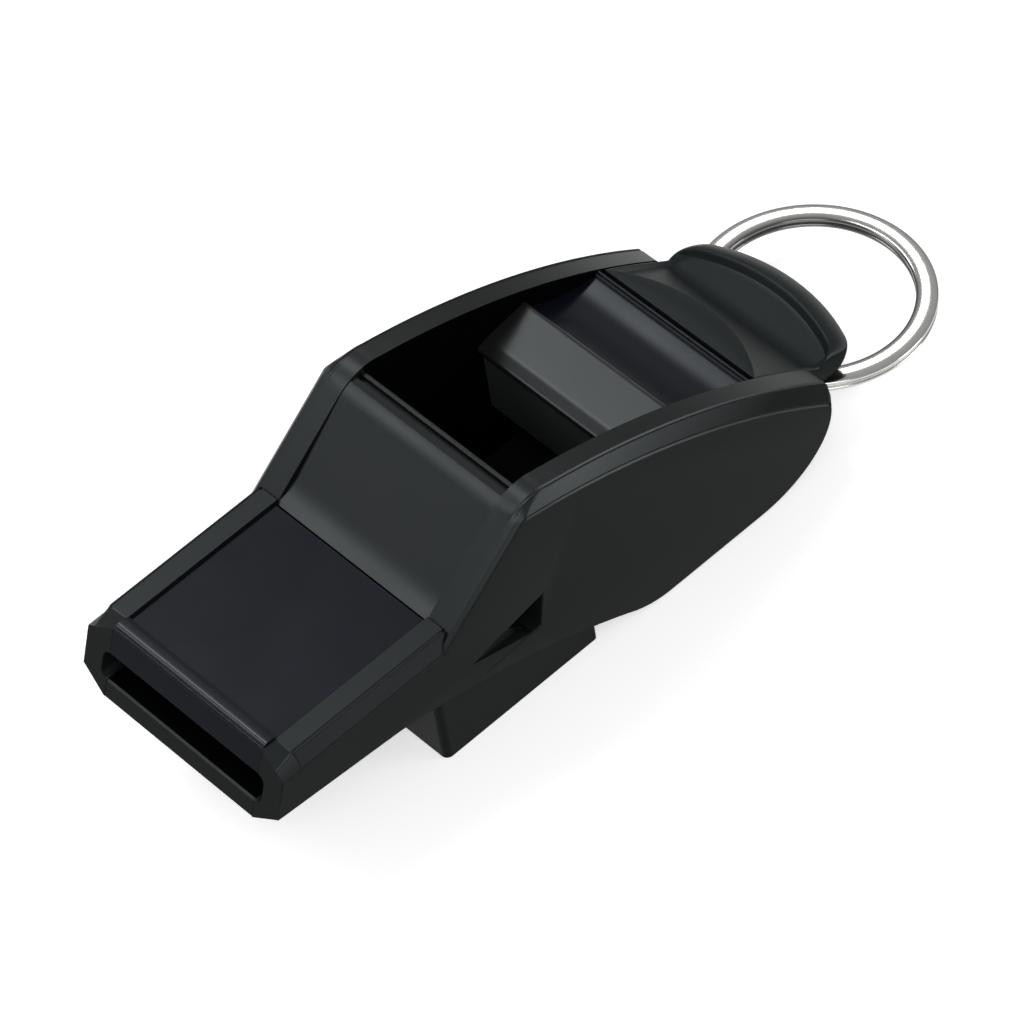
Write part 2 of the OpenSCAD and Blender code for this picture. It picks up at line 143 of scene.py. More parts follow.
# Plastics with a finish of their own: whose colour and whose roughness each one has.
# The partition's colour is lighter than the others, as painted light on it
PLASTICS = {
    "panel_plastic": ("panel", "panel"), "ramp_plastic": ("ramp", "ramp"),
    "labium_plastic": ("labium", "labium"), "tail_plastic": ("tail", "tail"),
    "partition_plastic": ("partition", "tail")}
# Upward parts of the normal between which a face goes from steep to level
STEEP = (0.38, 0.5)
# Colour of the plastic's gloss
GLOSS_TINT = (0.87, 0.97, 1)
# How much of the core's half width a face must turn inward to be one of its walls
INWARD = 0.8
# Share of the plastic's colour that is left deep in the windway and in the chamber, as painted
# shade there
PAINTED_SHADE_TONE = 0.15
# Length of the plastic's clouds in grains, their tones as shares of the colour, and how much
# rougher or smoother they are
CLOUD_GRAINS = 40
CLOUD_TONES = (0.9, 1.1)
CLOUD_SPREAD = 0.04
# The same for the nickel, with its clouds and its drawing marks counted per metre, and the
# depth of the marks in metres
NICKEL_CLOUDS = 900
NICKEL_TONES = (0.92, 1.05)
NICKEL_SPREAD = 0.05
NICKEL_MARKS = 4000
MARK_DEPTH = 0.000002
# Where the ring's inner wall, its flat sides and its outer wall have their own brightness,
# on a scale from inward at 0 to outward at 1; that brightness scales the nickel's colour, as
# painted shade on the walls
RING_PAINTED_SHADE_STOPS = (0.3, 0.5, 0.85)

FLOOR_SIZE = 4
# Upward parts of a direction between which the light from all round grows to its full strength
SKY = (0.08, 0.36)
# The lights: name, direction from the whistle, distance, width and depth in metres
LIGHTS = (
    ("crown", (-0.4, 0.517, 0.757), 0.5, 0.08, 0.24),
    ("overhead", (0.07, 0.517, 0.853), 0.5, 0.09, 0.3),
    ("ramp", (-0.671, 0.517, 0.531), 0.5, 0.32, 0.32),
    ("ridge", (0.567, 0.517, 0.64), 0.5, 0.07, 0.07),
    ("side", (0.66, -0.73, 0.2), 0.5, 0.2, 0.16),
    ("fill", (-0.35, -0.6, 0.72), 0.6, 0.4, 0.4))
# The camera's place, and its axes to the right, up and back
CAMERA_PLACE = Vector((-0.1916165, -0.263087, 0.398389))
CAMERA_AXES = (
    (0.72448, -0.68053, -0.10957), (0.5821, 0.5189, 0.62602), (-0.36917, -0.51731, 0.77207))


def length(name, description, mm):
    """A size of the whistle, given in millimetres and kept in metres."""
    return bpy.props.FloatProperty(
        name=name, description=description, default=mm * MM, precision=5, subtype="DISTANCE",
        unit="LENGTH")


def angle(name, description, degrees):
    """An angle, given in degrees."""
    return bpy.props.FloatProperty(
        name=name, description=description, default=math.radians(degrees), subtype="ANGLE")


def share(name, description, value):
    """A share from 0 to 1."""
    return bpy.props.FloatProperty(
        name=name, description=description, default=value, min=0, max=1, subtype="FACTOR")


def colour(name, description, value):
    """A colour, as linear red, green and blue."""
    return bpy.props.FloatVectorProperty(
        name=name, description=description, default=value, min=0, max=1, size=3,
        subtype="COLOR")


def glow(name, description, value):
    """The brightness of a light, where 1 is white."""
    return bpy.props.FloatProperty(name=name, description=description, default=value, min=0)


class WhistleBody(bpy.types.PropertyGroup):
    half_width: length("Half width", "From the middle to a side shell's outer face",
                       SHELL_BOX[1].y / MM)
    core: length("Half width of the core", "From the middle to a side shell's inner face",
                 SHELL_BOX[0].y / MM)
    crown_x: length("Crown place", "Distance of the crown behind the fin's front", 10.3)
    crown_height: length("Crown height", "Height of the crown above the table", 20.7)
    roof_radius: length("Roof radius", "Radius of the roof line behind the crown", 68)
    tail_x: length("Tail place", "Distance of the side shells' end behind the fin's front",
                   (SHELL_BOX[1].x - FRONT_X) / MM)
    tail_height: length("Tail height", "Height of the side shells' rear corner", 7.8)
    edge: length("Band width", "Width of the bevelled band along the outer edges", 0.62)
    crown_band: length("Band at the crown", "Depth of the band at the crown", 1.0)
    tail_band: length("Band at the tail", "Depth of the band at the tail", 1.3)
    mouth_band: length("Band at the mouth", "Depth of the band on the mouthpiece", 1.15)
    ramp_band: length("Band at the ramp", "Depth of the narrow band beside the ramp", 0.28)
    under_band: length("Band below", "Width of the band along the lower edges", 0.37)
    groove: length("Edge groove", "Depth of the groove between the strips and the band", 0.12)
    notch: length("Crease", "Depth of the crease across the foot of the ramp", 0.15)
    wall: length("Wall", "Thickness of the middle mouldings", 1.6)
    under_radius: length("Hollow radius", "Radius of the hollow curve under the body", 70)
    belly_x: length("Belly place", "Distance of the belly's corner behind the fin's front", 19.6)
    belly_radius: length("Belly radius", "Radius of the belly's front corner", 8)
    heel: length("Heel length", "Length of the upturned heel in front of the tail", 8.1)
    heel_height: length("Heel height", "Height of the heel's upper end", 5.9)
    soft_edge: length("Soft edge", "Width of the softened edges of the mouldings", 0.1)


class WhistleMouth(bpy.types.PropertyGroup):
    chin: length("Chin height", "Height of the mouthpiece's underside", 8.2)
    chin_length: length("Chin length", "Length of the level underside behind the mouth", 12)
    top: length("Mouth top", "Height of the mouth's top edge", 14.05)
    reach: length("Mouthpiece length", "From the ramp's foot to the mouth's top edge", 16.1)
    rake: angle("Rake", "Slope of the mouth face from upright", 19.3)
    top_bevel: length("Top bevel", "Drop of the top edge over a side shell", 1.22)
    chin_bevel: length("Chin bevel", "Rise of the bottom edge over a side shell", 1.4)
    slot_low: length("Slot bottom", "Height of the blowing slot's lower edge", 9.65)
    slot_height: length("Slot height", "Height of the blowing slot", 2.3)
    slot_end: length("Slot end", "Reach of the slot's round ends into a side shell", 0.65)
    slot_depth: length("Slot depth", "Depth of the slot's round ends", 3.8)
    bar: length("Lip bar length", "Length of the rounded bar along the mouth's top", 1.25)
    bar_rise: length("Lip bar rise", "Height of the bar above the mouth's top edge", 0.28)
    groove: length("Lip groove", "Width of the groove in front of the bar", 0.08)
    ledge: length("Ledge", "Length of the ledge behind the bar", 0.28)
    step: length("Strip step", "Length of the step up to the side strips", 0.12)
    panel_drop: length("Panel drop", "Depth of the roof panel below the side strips", 0.3)


class WhistleWindow(bpy.types.PropertyGroup):
    ramp_slope: angle("Ramp slope", "Slope of the ramp", 38.6)
    foot_slope: angle("Foot slope", "Slope of the ramp where it leaves the panel", 26)
    foot_radius: length("Foot radius", "Radius at the ramp's foot", 8)
    crown_radius: length("Crown radius", "Radius at the crown", 4.4)
    crown_edge: length("Crown edge radius", "Radius at the crown on the outer face", 0.6)
    seam: length("Seam depth", "Depth of the ramp cover below the side shells", 0.1)
    foot_sink: length("Foot depth", "Depth of the ramp's foot below the ramp's plane", 0.36)
    front_gap: length("Window front", "Distance of the window's front edge behind the crown", 0.95)
    rear_gap: length("Window rear", "Distance of the window's rear edge before the tail", 5.65)
    land: length("Land", "Length of the land along the window's front edge", 0.4)
    land_groove: length("Land groove", "Width of the groove in front of the land", 0.42)
    slit: length("Slit", "Height of the air slit under the ramp", 1.3)
    nose_x: length("Nose place", "Distance of the labium's nose behind the fin's front", 21.3)
    nose_height: length("Nose height", "Height of the labium's nose", 13.45)
    nose: length("Nose thickness", "Thickness of the labium at its nose", 0.5)
    ridge_x: length("Ridge place", "Distance of the labium's ridge behind the fin's front", 26.2)
    ridge_height: length("Ridge height", "Height of the labium's ridge", 14.4)
    bulge: length("Labium bulge", "Height of the bend behind the labium's nose", 0.16)
    deck_drop: length("Deck drop", "Drop from the labium's ridge to the deck", 0.83)
    sag: length("Deck sag", "Depth of the deck's hollow", 0.5)
    lip: length("Lip length", "Length of the lip along the window's rear edge", 0.5)
    lip_height: length("Lip height", "Height of that lip above the deck", 0.18)


class WhistlePorts(bpy.types.PropertyGroup):
    x: length("Port place", "Distance of the port's upper corner behind the fin's front", 10.15)
    height: length("Port height", "Height of the port's upper corner", 10.75)
    reach: length("Port length", "Length of the side port", 3.8)
    rise: length("Port rise", "Height of the port along its rear edge", 3.15)
    recess: length("Recess length", "Length of the wedge recess in front of the port", 3.3)
    recess_depth: length("Recess depth", "Depth of the recess at the port", 1.1)


class WhistleTail(bpy.types.PropertyGroup):
    rim_radius: length("Rim radius", "Radius of the rim in plan", 15.5)
    rim: length("Rim reach", "Distance of the rim's middle line behind the tail", 5.1)
    roll: length("Roll radius", "Radius of the roll along the rim", 1.2)
    roll_height: length("Roll height", "Height of the middle of the roll", 6.15)
    crest: length("Crest", "Distance of the rim's crest from its outer edge", 1.75)
    corner: length("Rim corner", "Radius of the rim's ends in plan", 2.2)
    saddle: length("Saddle depth", "Depth of the finger saddle below the roof line", 0.5)
    shelf: length("Shelf height", "Height of the saddle in front of the rim", 6.75)
    border: length("Border", "Width of the saddle's raised border along its sides", 0.3)
    gap: length("Tail gap", "Gap between the window's lip and the tail", 0.45)
    land: length("Land depth", "Depth in plan of the crescent land", 2.9)
    land_slope: angle("Land slope", "Slope of the crescent land", 14)
    post_width: length("Post width", "Width of the post and of the tongue", 9.6)
    tongue_top: length("Tongue height", "Height of the tongue's top", 1.897)
    tongue: length("Tongue thickness", "Thickness of the tongue below the ring", 1.45)
    post_end: length("Post end", "Distance of the post's rear behind the tail", 3.27)


class WhistleRing(bpy.types.PropertyGroup):
    radius: length("Ring radius", "Mean radius of the split ring", 8.6)
    wire_width: length("Wire width", "Width of the flat wire", 1.7)
    wire: length("Wire thickness", "Thickness of one turn of the wire", 0.57)
    height: length("Ring height", "Height of the ring's middle", 3)
    slope: angle("Ring slope", "Slope of the ring down to the rear", 5)
    end_turn: angle("End turn", "Turn of the wire's end from the rear", 126)
    cross_turn: angle("Cross turn", "Turn in which the wire passes from one layer to the other", 17)
    play: length("Ring play", "Gap between the ring and the post", 0.35)


class WhistleFinish(bpy.types.PropertyGroup):
    body_colour: colour("Body", "Colour of the body mouldings", (0.0085, 0.0095, 0.0095))
    panel_colour: colour("Panel", "Colour of the polished panels", (0.005, 0.0055, 0.01))
    ramp_colour: colour("Ramp", "Colour of the ramp cover", (0.0055, 0.006, 0.006))
    labium_colour: colour("Labium", "Colour of the labium", (0.0125, 0.0125, 0.0125))
    # The partition's colour is several times lighter than the other plastics: painted light on the
    # face that the lamps hardly reach
    partition_colour: colour("Partition", "Colour of the partition", (0.05, 0.055, 0.057))
    tail_colour: colour("Tail", "Colour of the tail cap", (0.0075, 0.0098, 0.0098))
    ring_colour: colour("Ring", "Colour of the nickel plating", (0.86, 0.86, 0.83))
    body_roughness: share("Body roughness", "Roughness of the body mouldings", 0.34)
    panel_roughness: share("Panel roughness", "Roughness of the polished panels", 0.2)
    ramp_roughness: share("Ramp roughness", "Roughness of the ramp cover", 0.3)
    labium_roughness: share("Labium roughness", "Roughness of the labium", 0.25)
    tail_roughness: share("Tail roughness", "Roughness of the tail cap", 0.42)
    ring_roughness: share("Ring roughness", "Roughness of the nickel plating", 0.16)
    # The ring's inner and outer walls have the nickel's colour lowered by the next two shares:
    # painted shade
    ring_inner_painted_shade: share("Ring inside", "Brightness of the ring's inner wall", 0.2)
    ring_outer_painted_shade: share("Ring outside", "Brightness of the ring's outer wall", 0.7)
    specular: share("Specular", "Strength of the plastic's gloss", 0.3)
    steep: share("Steep gloss", "Strength of the plastic's gloss on its steep faces", 0.03)
    panel_specular: share("Panel specular", "Strength of the polished panels' gloss", 0.3)
    grain: length("Grain", "Size of the moulded surface texture", 0.16)
    grain_depth: length("Grain depth", "Depth of the moulded surface texture", 0.003)
    polish: share("Polish", "Share of the grain's depth that is left on polished panels", 0.2)


class WhistleStage(bpy.types.PropertyGroup):
    lens: bpy.props.FloatProperty(
        name="Lens", description="Focal length on a 36 mm sensor, in millimetres", default=245.07,
        min=1)
    ambient: glow("Ambient", "Brightness of the light from above", 0.37)
    horizon: glow("Horizon", "Brightness of the light from the horizon", 0.06)
    crown: glow("Crown light", "Brightness of the light that the crown and the foot show", 5.5)
    overhead: glow("Overhead light", "Brightness of the light that the labium shows", 6.5)
    ramp: glow("Ramp light", "Brightness of the light that the ramp shows", 0.75)
    ridge: glow("Ridge light", "Brightness of the small light that the ring shows", 4)
    side: glow("Side light", "Brightness of the low light beside the tail", 6.5)
    fill: glow("Fill light", "Brightness of the light in front of the near side", 2.2)
    floor: colour("Floor", "Colour of the floor", (0.8, 0.8, 0.8))
    floor_glow: share("Floor glow", "Share of the floor's white that the camera sees anyway", 0.55)


def bench(group):
    """The values of a group on the bench: lengths in millimetres, the rest as they are."""
    values = {}
    for name, prop in group.bl_rna.properties.items():
        if prop.type == "FLOAT":
            value = getattr(group, name)
            values[name] = value / MM if prop.subtype == "DISTANCE" else value
    return types.SimpleNamespace(**values)


def unit(a):
    """The step of length 1 along the heading a, from +X towards +Z."""
    return Vector((math.cos(a), math.sin(a)))


def cross(p, q):
    """Cross product of two steps."""
    return p.x * q.y - p.y * q.x


def meet(p, a, q, b):
    """Where the line through p with heading a meets the line through q with heading b."""
    return p + unit(a) * (cross(q - p, unit(b)) / cross(unit(a), unit(b)))


def inside(p, a, d):
    """The point p moved by d to the right of the heading a."""
    return p + Vector((math.sin(a), -math.cos(a))) * d


def rounded(p, a, b, r, steps):
    """A round of radius r at the corner p, reached with heading a and left with heading b."""
    side = math.copysign(1, b - a)
    start = p - unit(a) * (r * math.tan(abs(b - a) / 2))
    middle = inside(start, a, -side * r)
    return [inside(middle, a + (b - a) * i / steps, side * r) for i in range(steps + 1)]


def arc_centre(p, q, r):
    """Centre of the circle of radius r through p and q, to the right of p to q."""
    d = q - p
    right = Vector((d.y, -d.x)) / d.length
    return (p + q) / 2 + right * math.sqrt(r * r - d.length_squared / 4)


def shares(steps):
    """The shares from 0 to 1 in that many steps."""
    return [i / steps for i in range(steps + 1)]


def path(*places):
    """The points at these places in X and Z."""
    return [Vector(place) for place in places]


def raised(points, d):
    """The points, moved up by d."""
    return [p + Vector((0, d)) for p in points]


class Lines:
    """The lines in X and Z that the mouldings share, in millimetres, with X from the front
    of the fin and Z from the table."""

    def __init__(self, scene):
        self.body = bench(scene.whistle_body)
        self.mouth = bench(scene.whistle_mouth)
        self.window = bench(scene.whistle_window)
        self.tail = bench(scene.whistle_tail)
        body, mouth, window = self.body, self.mouth, self.window
        self.crown = Vector((body.crown_x, body.crown_height))
        self.corner = Vector((body.tail_x, body.tail_height))
        self.roof_centre = arc_centre(self.crown, self.corner, body.roof_radius)
        self.crown_tilt = self.roof_tilt(body.crown_x)
        self.window_x = body.crown_x + window.front_gap
        self.window_end = body.tail_x - window.rear_gap
        self.mouth_x = self.ramp_x(mouth.top, 0) - mouth.reach
        self.slot_top = mouth.slot_low + mouth.slot_height
        self.panel = mouth.top - mouth.panel_drop
        self.crease = self.ramp_x(self.panel, 0)
        self.chin_end = self.face_x(mouth.chin) + mouth.chin_length
        chin_corner = Vector((self.chin_end, mouth.chin))
        self.under_centre = arc_centre(chin_corner, Vector((body.belly_x, 0)), body.under_radius)
        self.belly_tilt = self.under_tilt(body.belly_x)
        run = body.belly_radius * math.tan(self.belly_tilt / 2)
        self.under_end = body.belly_x - run * math.cos(self.belly_tilt)
        self.floor_depth = body.wall + window.slit
        self.floor_end = self.crease
        for _ in range(LARGE_STEPS):
            self.floor_end = self.ramp_x(
                self.under(self.floor_end) + body.wall, self.floor_depth + body.wall)

    def roof_tilt(self, x):
        """How far the roof line is turned from level at x."""
        return math.asin((x - self.roof_centre.x) / self.body.roof_radius)

    def roof(self, x):
        """Height of the roof line at x."""
        return self.roof_centre.y + self.body.roof_radius * math.cos(self.roof_tilt(x))

    def ramp(self, x, d):
        """Height of the ramp's plane at x, moved by d into the material."""
        slope = self.window.ramp_slope
        return self.crown.y - d / math.cos(slope) + (x - self.crown.x) * math.tan(slope)

    def ramp_x(self, z, d):
        """Place where the ramp's plane, moved by d, reaches the height z."""
        slope = self.window.ramp_slope
        return self.crown.x + (z - self.crown.y + d / math.cos(slope)) / math.tan(slope)

    def face_x(self, z):
        """Place of the mouth face at the height z."""
        return self.mouth_x - (self.mouth.top - z) * math.tan(self.mouth.rake)

    def under_tilt(self, x):
        """How far the hollow curve under the body is turned from level at x."""
        return math.asin((x - self.under_centre.x) / self.body.under_radius)

    def under(self, x):
        """Height of the hollow curve under the body at x."""
        return self.under_centre.y + self.body.under_radius * math.cos(self.under_tilt(x))

    def under_points(self, x0, x1, d, steps):
        """Points of the hollow curve, moved by d into the material above."""
        tilts = [self.under_tilt(x0 + (x1 - x0) * i / steps) for i in range(steps + 1)]
        radius = self.body.under_radius + d
        return [self.under_centre + Vector((math.sin(a), math.cos(a))) * radius for a in tilts]

    def belly_round(self, d):
        """The belly's front corner, moved by d into the material above."""
        corner = Vector((self.body.belly_x, d))
        return rounded(corner, -self.belly_tilt, 0, self.body.belly_radius, SMALL_STEPS)

    def heel(self, x):
        """Height of the heel's curve at x."""
        body = self.body
        t = (x - body.tail_x + body.heel) / body.heel
        return body.heel_height * (1 - math.sqrt(max(0, 1 - t * t)))

    def shell(self, y, groove, band, side, under):
        """Outline of a side shell at the distance y from the middle. The shares groove, band
        and under say how much of their depths the edge groove, the upper band and the lower
        band have there, and side is how far it lies below the upper band."""
        body, mouth, window = self.body, self.mouth, self.window
        t = (y - body.core) / (body.half_width - body.core)
        lower = body.under_band * under
        sunk = body.groove * groove + side
        strip = mouth.top - body.mouth_band * band - sunk
        bevel = mouth.top - mouth.top_bevel * t - side
        low = mouth.chin + mouth.chin_bevel * t
        bar_x = self.mouth_x + mouth.bar
        slope = window.ramp_slope
        ramp_p = inside(self.crown, slope, body.ramp_band * max(0, 2 * band - 1) + side)
        roof_p = inside(self.crown, -self.crown_tilt, body.crown_band * band + sunk)
        foot = meet(Vector((0, strip)), 0, ramp_p, slope)
        peak = meet(ramp_p, slope, roof_p, -self.crown_tilt)
        start = body.crown_x + window.crown_radius * CROWN_SHARE
        end = body.tail_x - body.wall
        end_tilt = self.roof_tilt(body.tail_x)
        rear_x = body.tail_x - lower
        tail_p = inside(self.corner, -end_tilt, body.tail_band * band + sunk)
        tail = meet(tail_p, -end_tilt, Vector((rear_x, 0)), -math.pi / 2)
        points = path(
            (self.face_x(low), low), (self.face_x(bevel), bevel),
            (bar_x, max(bevel, strip - mouth.step)), (bar_x + mouth.step, strip))
        points += [foot - Vector((body.notch * 2, 0)), foot - Vector((body.notch, body.notch)),
                   foot + unit(slope) * body.notch]
        points += rounded(
            peak, slope, -self.crown_tilt,
            window.crown_radius + (window.crown_edge - window.crown_radius) * band, SMALL_STEPS)
        for s in shares(ROOF_STEPS):
            a = self.roof_tilt(start + (end - start) * s)
            depth = (body.crown_band + (body.tail_band - body.crown_band) * s) * band + sunk
            step = Vector((math.sin(a), math.cos(a)))
            points.append(self.roof_centre + step * (body.roof_radius - depth))
        points += rounded(tail, -end_tilt, -math.pi / 2, body.wall / 2, SMALL_STEPS)
        top = points[-1].y
        for i in range(LARGE_STEPS + 1):
            a = math.pi / 2 * (1 - i / LARGE_STEPS)
            height = body.heel_height - (body.heel_height - lower) * math.cos(a)
            points += path((body.tail_x - body.heel + (body.heel - lower) * math.sin(a),
                            min(height, top - FALL * (i + 1))))
        points += reversed(self.belly_round(lower))
        points += reversed(self.under_points(self.chin_end, self.under_end, lower, LARGE_STEPS))
        return points

    def cap(self, y, channel, back, inner):
        """Outline of the tail cap at the distance y from the middle, with the place and the
        heights of the ring channel's front wall."""
        body, tail = self.body, self.tail
        out = abs(y)
        cap_x = self.window_end + tail.gap
        middle = body.tail_x + tail.rim - tail.rim_radius
        radius = tail.rim_radius + tail.roll
        round_y = body.core - tail.corner
        if out < radius * round_y / (radius - tail.corner):
            rear = middle + math.sqrt(radius ** 2 - out ** 2)
        else:
            rear = (middle + math.sqrt((radius - tail.corner) ** 2 - round_y ** 2)
                    + math.sqrt(max(0, tail.corner ** 2 - (out - round_y) ** 2)))
        crest_x = rear - tail.crest
        crest = tail.roll_height + tail.roll
        land_radius = (body.core ** 2 + tail.land ** 2) / (2 * tail.land)
        arc_x = max(cap_x + APART, cap_x + tail.land - land_radius
                    + math.sqrt(land_radius ** 2 - out ** 2))
        gone = tail.border - min(tail.border, body.core - out)
        drop = tail.border - math.sqrt(max(0, tail.border ** 2 - gone ** 2))
        hollow = 1 - smooth(
            out, body.core - tail.border * BORDER_START, body.core - tail.border * BORDER_FULL)
        land = self.roof(cap_x) - drop
        points = path(
            (cap_x, self.roof(cap_x) - tail.saddle - body.wall), (cap_x, land),
            (arc_x, land - (arc_x - cap_x) * math.tan(tail.land_slope)))
        arc_x += APART
        for s in shares(LARGE_STEPS):
            x = crest_x - (crest_x - arc_x) * (1 - s) ** CREST_POWER
            side = blend(self.roof(x), tail.shelf + tail.saddle / 2, tail.border)
            floor = blend(self.roof(x) - tail.saddle, tail.shelf, tail.saddle)
            height = side + (floor - side) * hollow
            rise = smooth(x, crest_x - tail.crest / CREST_PARTS, crest_x)
            points += path((x, height + (crest - height) * rise - drop))
        high = points[-1].y - tail.roll_height
        for i in range(1, LARGE_STEPS + 1):
            a = ROLL_TURN * i / LARGE_STEPS
            run = tail.crest * math.sin(a)
            lift = tail.roll * math.cos(a)
            if a < math.pi / 2:
                run = tail.crest * math.sin(a) ** ROLL_POWER
                lift = high * math.cos(a) ** ROLL_POWER
            points += path((crest_x + run, tail.roll_height + lift))
        points += path(
            (channel + body.wall, points[-1].y), (channel, back), (channel - body.wall, inner))
        return points


def smooth(x, x0, x1):
    """Goes softly from 0 at x0 to 1 at x1."""
    t = min(1, max(0, (x - x0) / (x1 - x0)))
    return t * t * (3 - 2 * t)


def blend(p, q, width):
    """The greater of two heights, with a soft change from one to the other."""
    return (p + q + math.sqrt((p - q) ** 2 + width ** 2)) / 2


def only(*objects):
    """Leaves only these objects selected, the first one active."""
    if bpy.context.object and bpy.context.object.mode != "OBJECT":
        leave()
    bpy.ops.object.select_all(action="DESELECT")
    for obj in objects:
        obj.select_set(True)
    bpy.context.view_layer.objects.active = objects[0]


def enter(kind):
    """Opens the active object in edit mode, to work on its vertices, edges or faces."""
    bpy.context.tool_settings.mesh_select_mode = [kind == k for k in ("VERT", "EDGE", "FACE")]
    bpy.ops.object.mode_set(mode="EDIT")


def leave():
    """Leaves edit mode."""
    bpy.ops.object.mode_set(mode="OBJECT")


def edit(obj, kind, test=None):
    """Opens obj in edit mode with the vertices, edges or faces selected whose corners all
    pass the test, or with all of it where there is no test."""
    only(obj)
    mesh = obj.data
    chosen = [test is None or test(v.co) for v in mesh.vertices]
    for v in mesh.vertices:
        v.select = chosen[v.index]
    for part in (*mesh.edges, *mesh.polygons):
        part.select = all(chosen[i] for i in part.vertices)
    enter(kind)


def edit_edges(obj, test):
    """Opens obj in edit mode with those of its selected edges left selected whose two ends
    pass the test together."""
    only(obj)
    mesh = obj.data
    for f in mesh.polygons:
        f.select = False
    for e in mesh.edges:
        e.select = e.select and test(*(mesh.vertices[i].co for i in e.vertices))
    enter("EDGE")


def close(obj):
    """Turns all faces of obj outward and leaves edit mode."""
    bpy.ops.mesh.select_all(action="SELECT")
    bpy.ops.mesh.normals_make_consistent(inside=False)
    leave()
    return obj


def turn(a, axis):
    """Turns what is selected by the angle a about an axis through the origin. Without a
    window the operator turns the other way, and so does spin."""
    bpy.ops.transform.rotate(value=-a, orient_axis=axis, center_override=(0, 0, 0))


def move(*step):
    """Moves what is selected by a step in X, Y and Z."""
    bpy.ops.transform.translate(value=step)


def pull(*step):
    """Extrudes what is selected by a step in X, Y and Z."""
    bpy.ops.mesh.extrude_region_move(TRANSFORM_OT_translate={"value": step})


def settle(obj):
    """Puts the place, turn and size of the selected obj into its mesh."""
    bpy.ops.object.transform_apply(location=True, rotation=True, scale=True)
    return obj


def primitive(kind, **values):
    """A new plane, cube or cylinder, alone selected, with its place and size in its mesh."""
    bpy.ops.object.select_all(action="DESELECT")
    getattr(bpy.ops.mesh, f"primitive_{kind}_add")(**values)
    return settle(bpy.context.object)


def disc(x, radius, z0, z1, corners):
    """An upright cylinder round x, from z0 to z1."""
    return primitive("cylinder", vertices=corners, radius=radius, depth=z1 - z0,
                     location=(x, 0, (z0 + z1) / 2))


def trace(points, y=0):
    """An outline in X and Z at the place y, drawn point by point from its first corner."""
    obj = primitive("plane", size=1)
    edit(obj, "VERT")
    bpy.ops.mesh.merge(type="CENTER")
    move(points[0].x, y, points[0].y)
    for p, q in zip(points, points[1:]):
        bpy.ops.mesh.extrude_vertices_move(
            TRANSFORM_OT_translate={"value": (q.x - p.x, 0, q.y - p.y)})
    bpy.ops.mesh.select_all(action="SELECT")
    bpy.ops.mesh.edge_face_add()
    leave()
    return obj


def block(points, y1, y0=None):
    """A solid of an outline in X and Z, from y0 to y1, or as far on both sides of the middle."""
    y0 = -y1 if y0 is None else y0
    obj = trace(points, y0)
    edit(obj, "FACE")
    pull(0, y1 - y0, 0)
    return close(obj)


def skin(sections):
    """A solid through outlines in X and Z of as many points each, given with their places."""
    rings = [trace(points, y) for y, points in sections]
    only(*rings)
    bpy.ops.object.join()
    obj = bpy.context.object
    edit(obj, "FACE")
    bpy.ops.mesh.delete(type="ONLY_FACE")
    leave()
    for (y0, _), (y1, _) in zip(sections, sections[1:]):
        edit(obj, "EDGE", lambda p: abs(p.y - y0) < TINY or abs(p.y - y1) < TINY)
        bpy.ops.mesh.bridge_edge_loops()
        leave()
    for y in (sections[0][0], sections[-1][0]):
        edit(obj, "EDGE", lambda p: abs(p.y - y) < TINY)
        bpy.ops.mesh.edge_face_add()
        leave()
    edit(obj, "FACE")
    return close(obj)


def trim(obj, width, test, limit=32):
    """Bevels the edges of obj that turn by more than the limit in degrees, and whose ends
    both pass the test."""
    edit(obj, "EDGE")
    bpy.ops.mesh.select_all(action="DESELECT")
    bpy.ops.mesh.edges_select_sharp(sharpness=math.radians(limit))
    leave()
    edit_edges(obj, lambda p, q: test(p) and test(q))
    bpy.ops.mesh.bevel(offset=width, segments=2, clamp_overlap=False)
    return close(obj)


def shade(obj, limit):
    """Shades obj smooth, with edges that turn by more than the limit in degrees kept."""
    only(obj)
    bpy.ops.object.shade_smooth_by_angle(angle=math.radians(limit))
    return obj


def modify(obj, kind, **values):
    """Gives obj a modifier and applies it."""
    only(obj)
    modifier = obj.modifiers.new(kind.title(), kind)
    for name, value in values.items():
        setattr(modifier, name, value)
    bpy.ops.object.modifier_apply(modifier=modifier.name)


def carve(obj, tool, operation="DIFFERENCE"):
    """Cuts the tool out of obj, or joins or keeps what both share."""
    modify(obj, "BOOLEAN", object=tool, operation=operation, solver="EXACT")
    bpy.data.objects.remove(tool, do_unlink=True)


def soften(obj, width, limit=32):
    """Bevels the edges of obj that turn by more than the limit in degrees, and shades it."""
    only(obj)
    bpy.ops.object.shade_smooth()
    modify(obj, "BEVEL", width=width, segments=2, limit_method="ANGLE",
           angle_limit=math.radians(limit), use_clamp_overlap=False)
    modify(obj, "WEIGHTED_NORMAL")
    return obj


def mirrored(obj):
    """A copy of obj on the other side of the middle, with its own mesh."""
    only(obj)
    bpy.ops.object.duplicate()
    copy = bpy.context.object
    edit(copy, "VERT")
    bpy.ops.transform.resize(value=(1, -1, 1), center_override=(0, 0, 0))
    return close(copy)


def dress(obj, finish):
    """Gives obj the material of that finish alone."""
    obj.data.materials.clear()
    obj.data.materials.append(finish_material(bpy.context.scene, finish))


def hand_over(obj, name, node, finish, body="whistle"):
    """Brings obj from the bench to its size and place, and puts it in its node's stead."""
    only(obj)
    obj.location = (FRONT_X, 0, 0)
    obj.scale = (MM, MM, MM)
    settle(obj)
    obj.name = name
    obj.data.name = name
    dress(obj, finish)
    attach(obj, body)
    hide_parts(node)


def feed(tree, node, sockets):
    """Feeds a node's sockets from other nodes' sockets or with plain values."""
    for name, value in sockets.items():
        if isinstance(value, bpy.types.NodeSocket):
            tree.links.new(value, node.inputs[name])
        else:
            node.inputs[name].default_value = value


def add_node(tree, kind, sockets, **settings):
    """A new node of that kind, set and fed."""
    node = tree.nodes.new("ShaderNode" + kind)
    for name, value in settings.items():
        setattr(node, name, value)
    feed(tree, node, sockets)
    return node


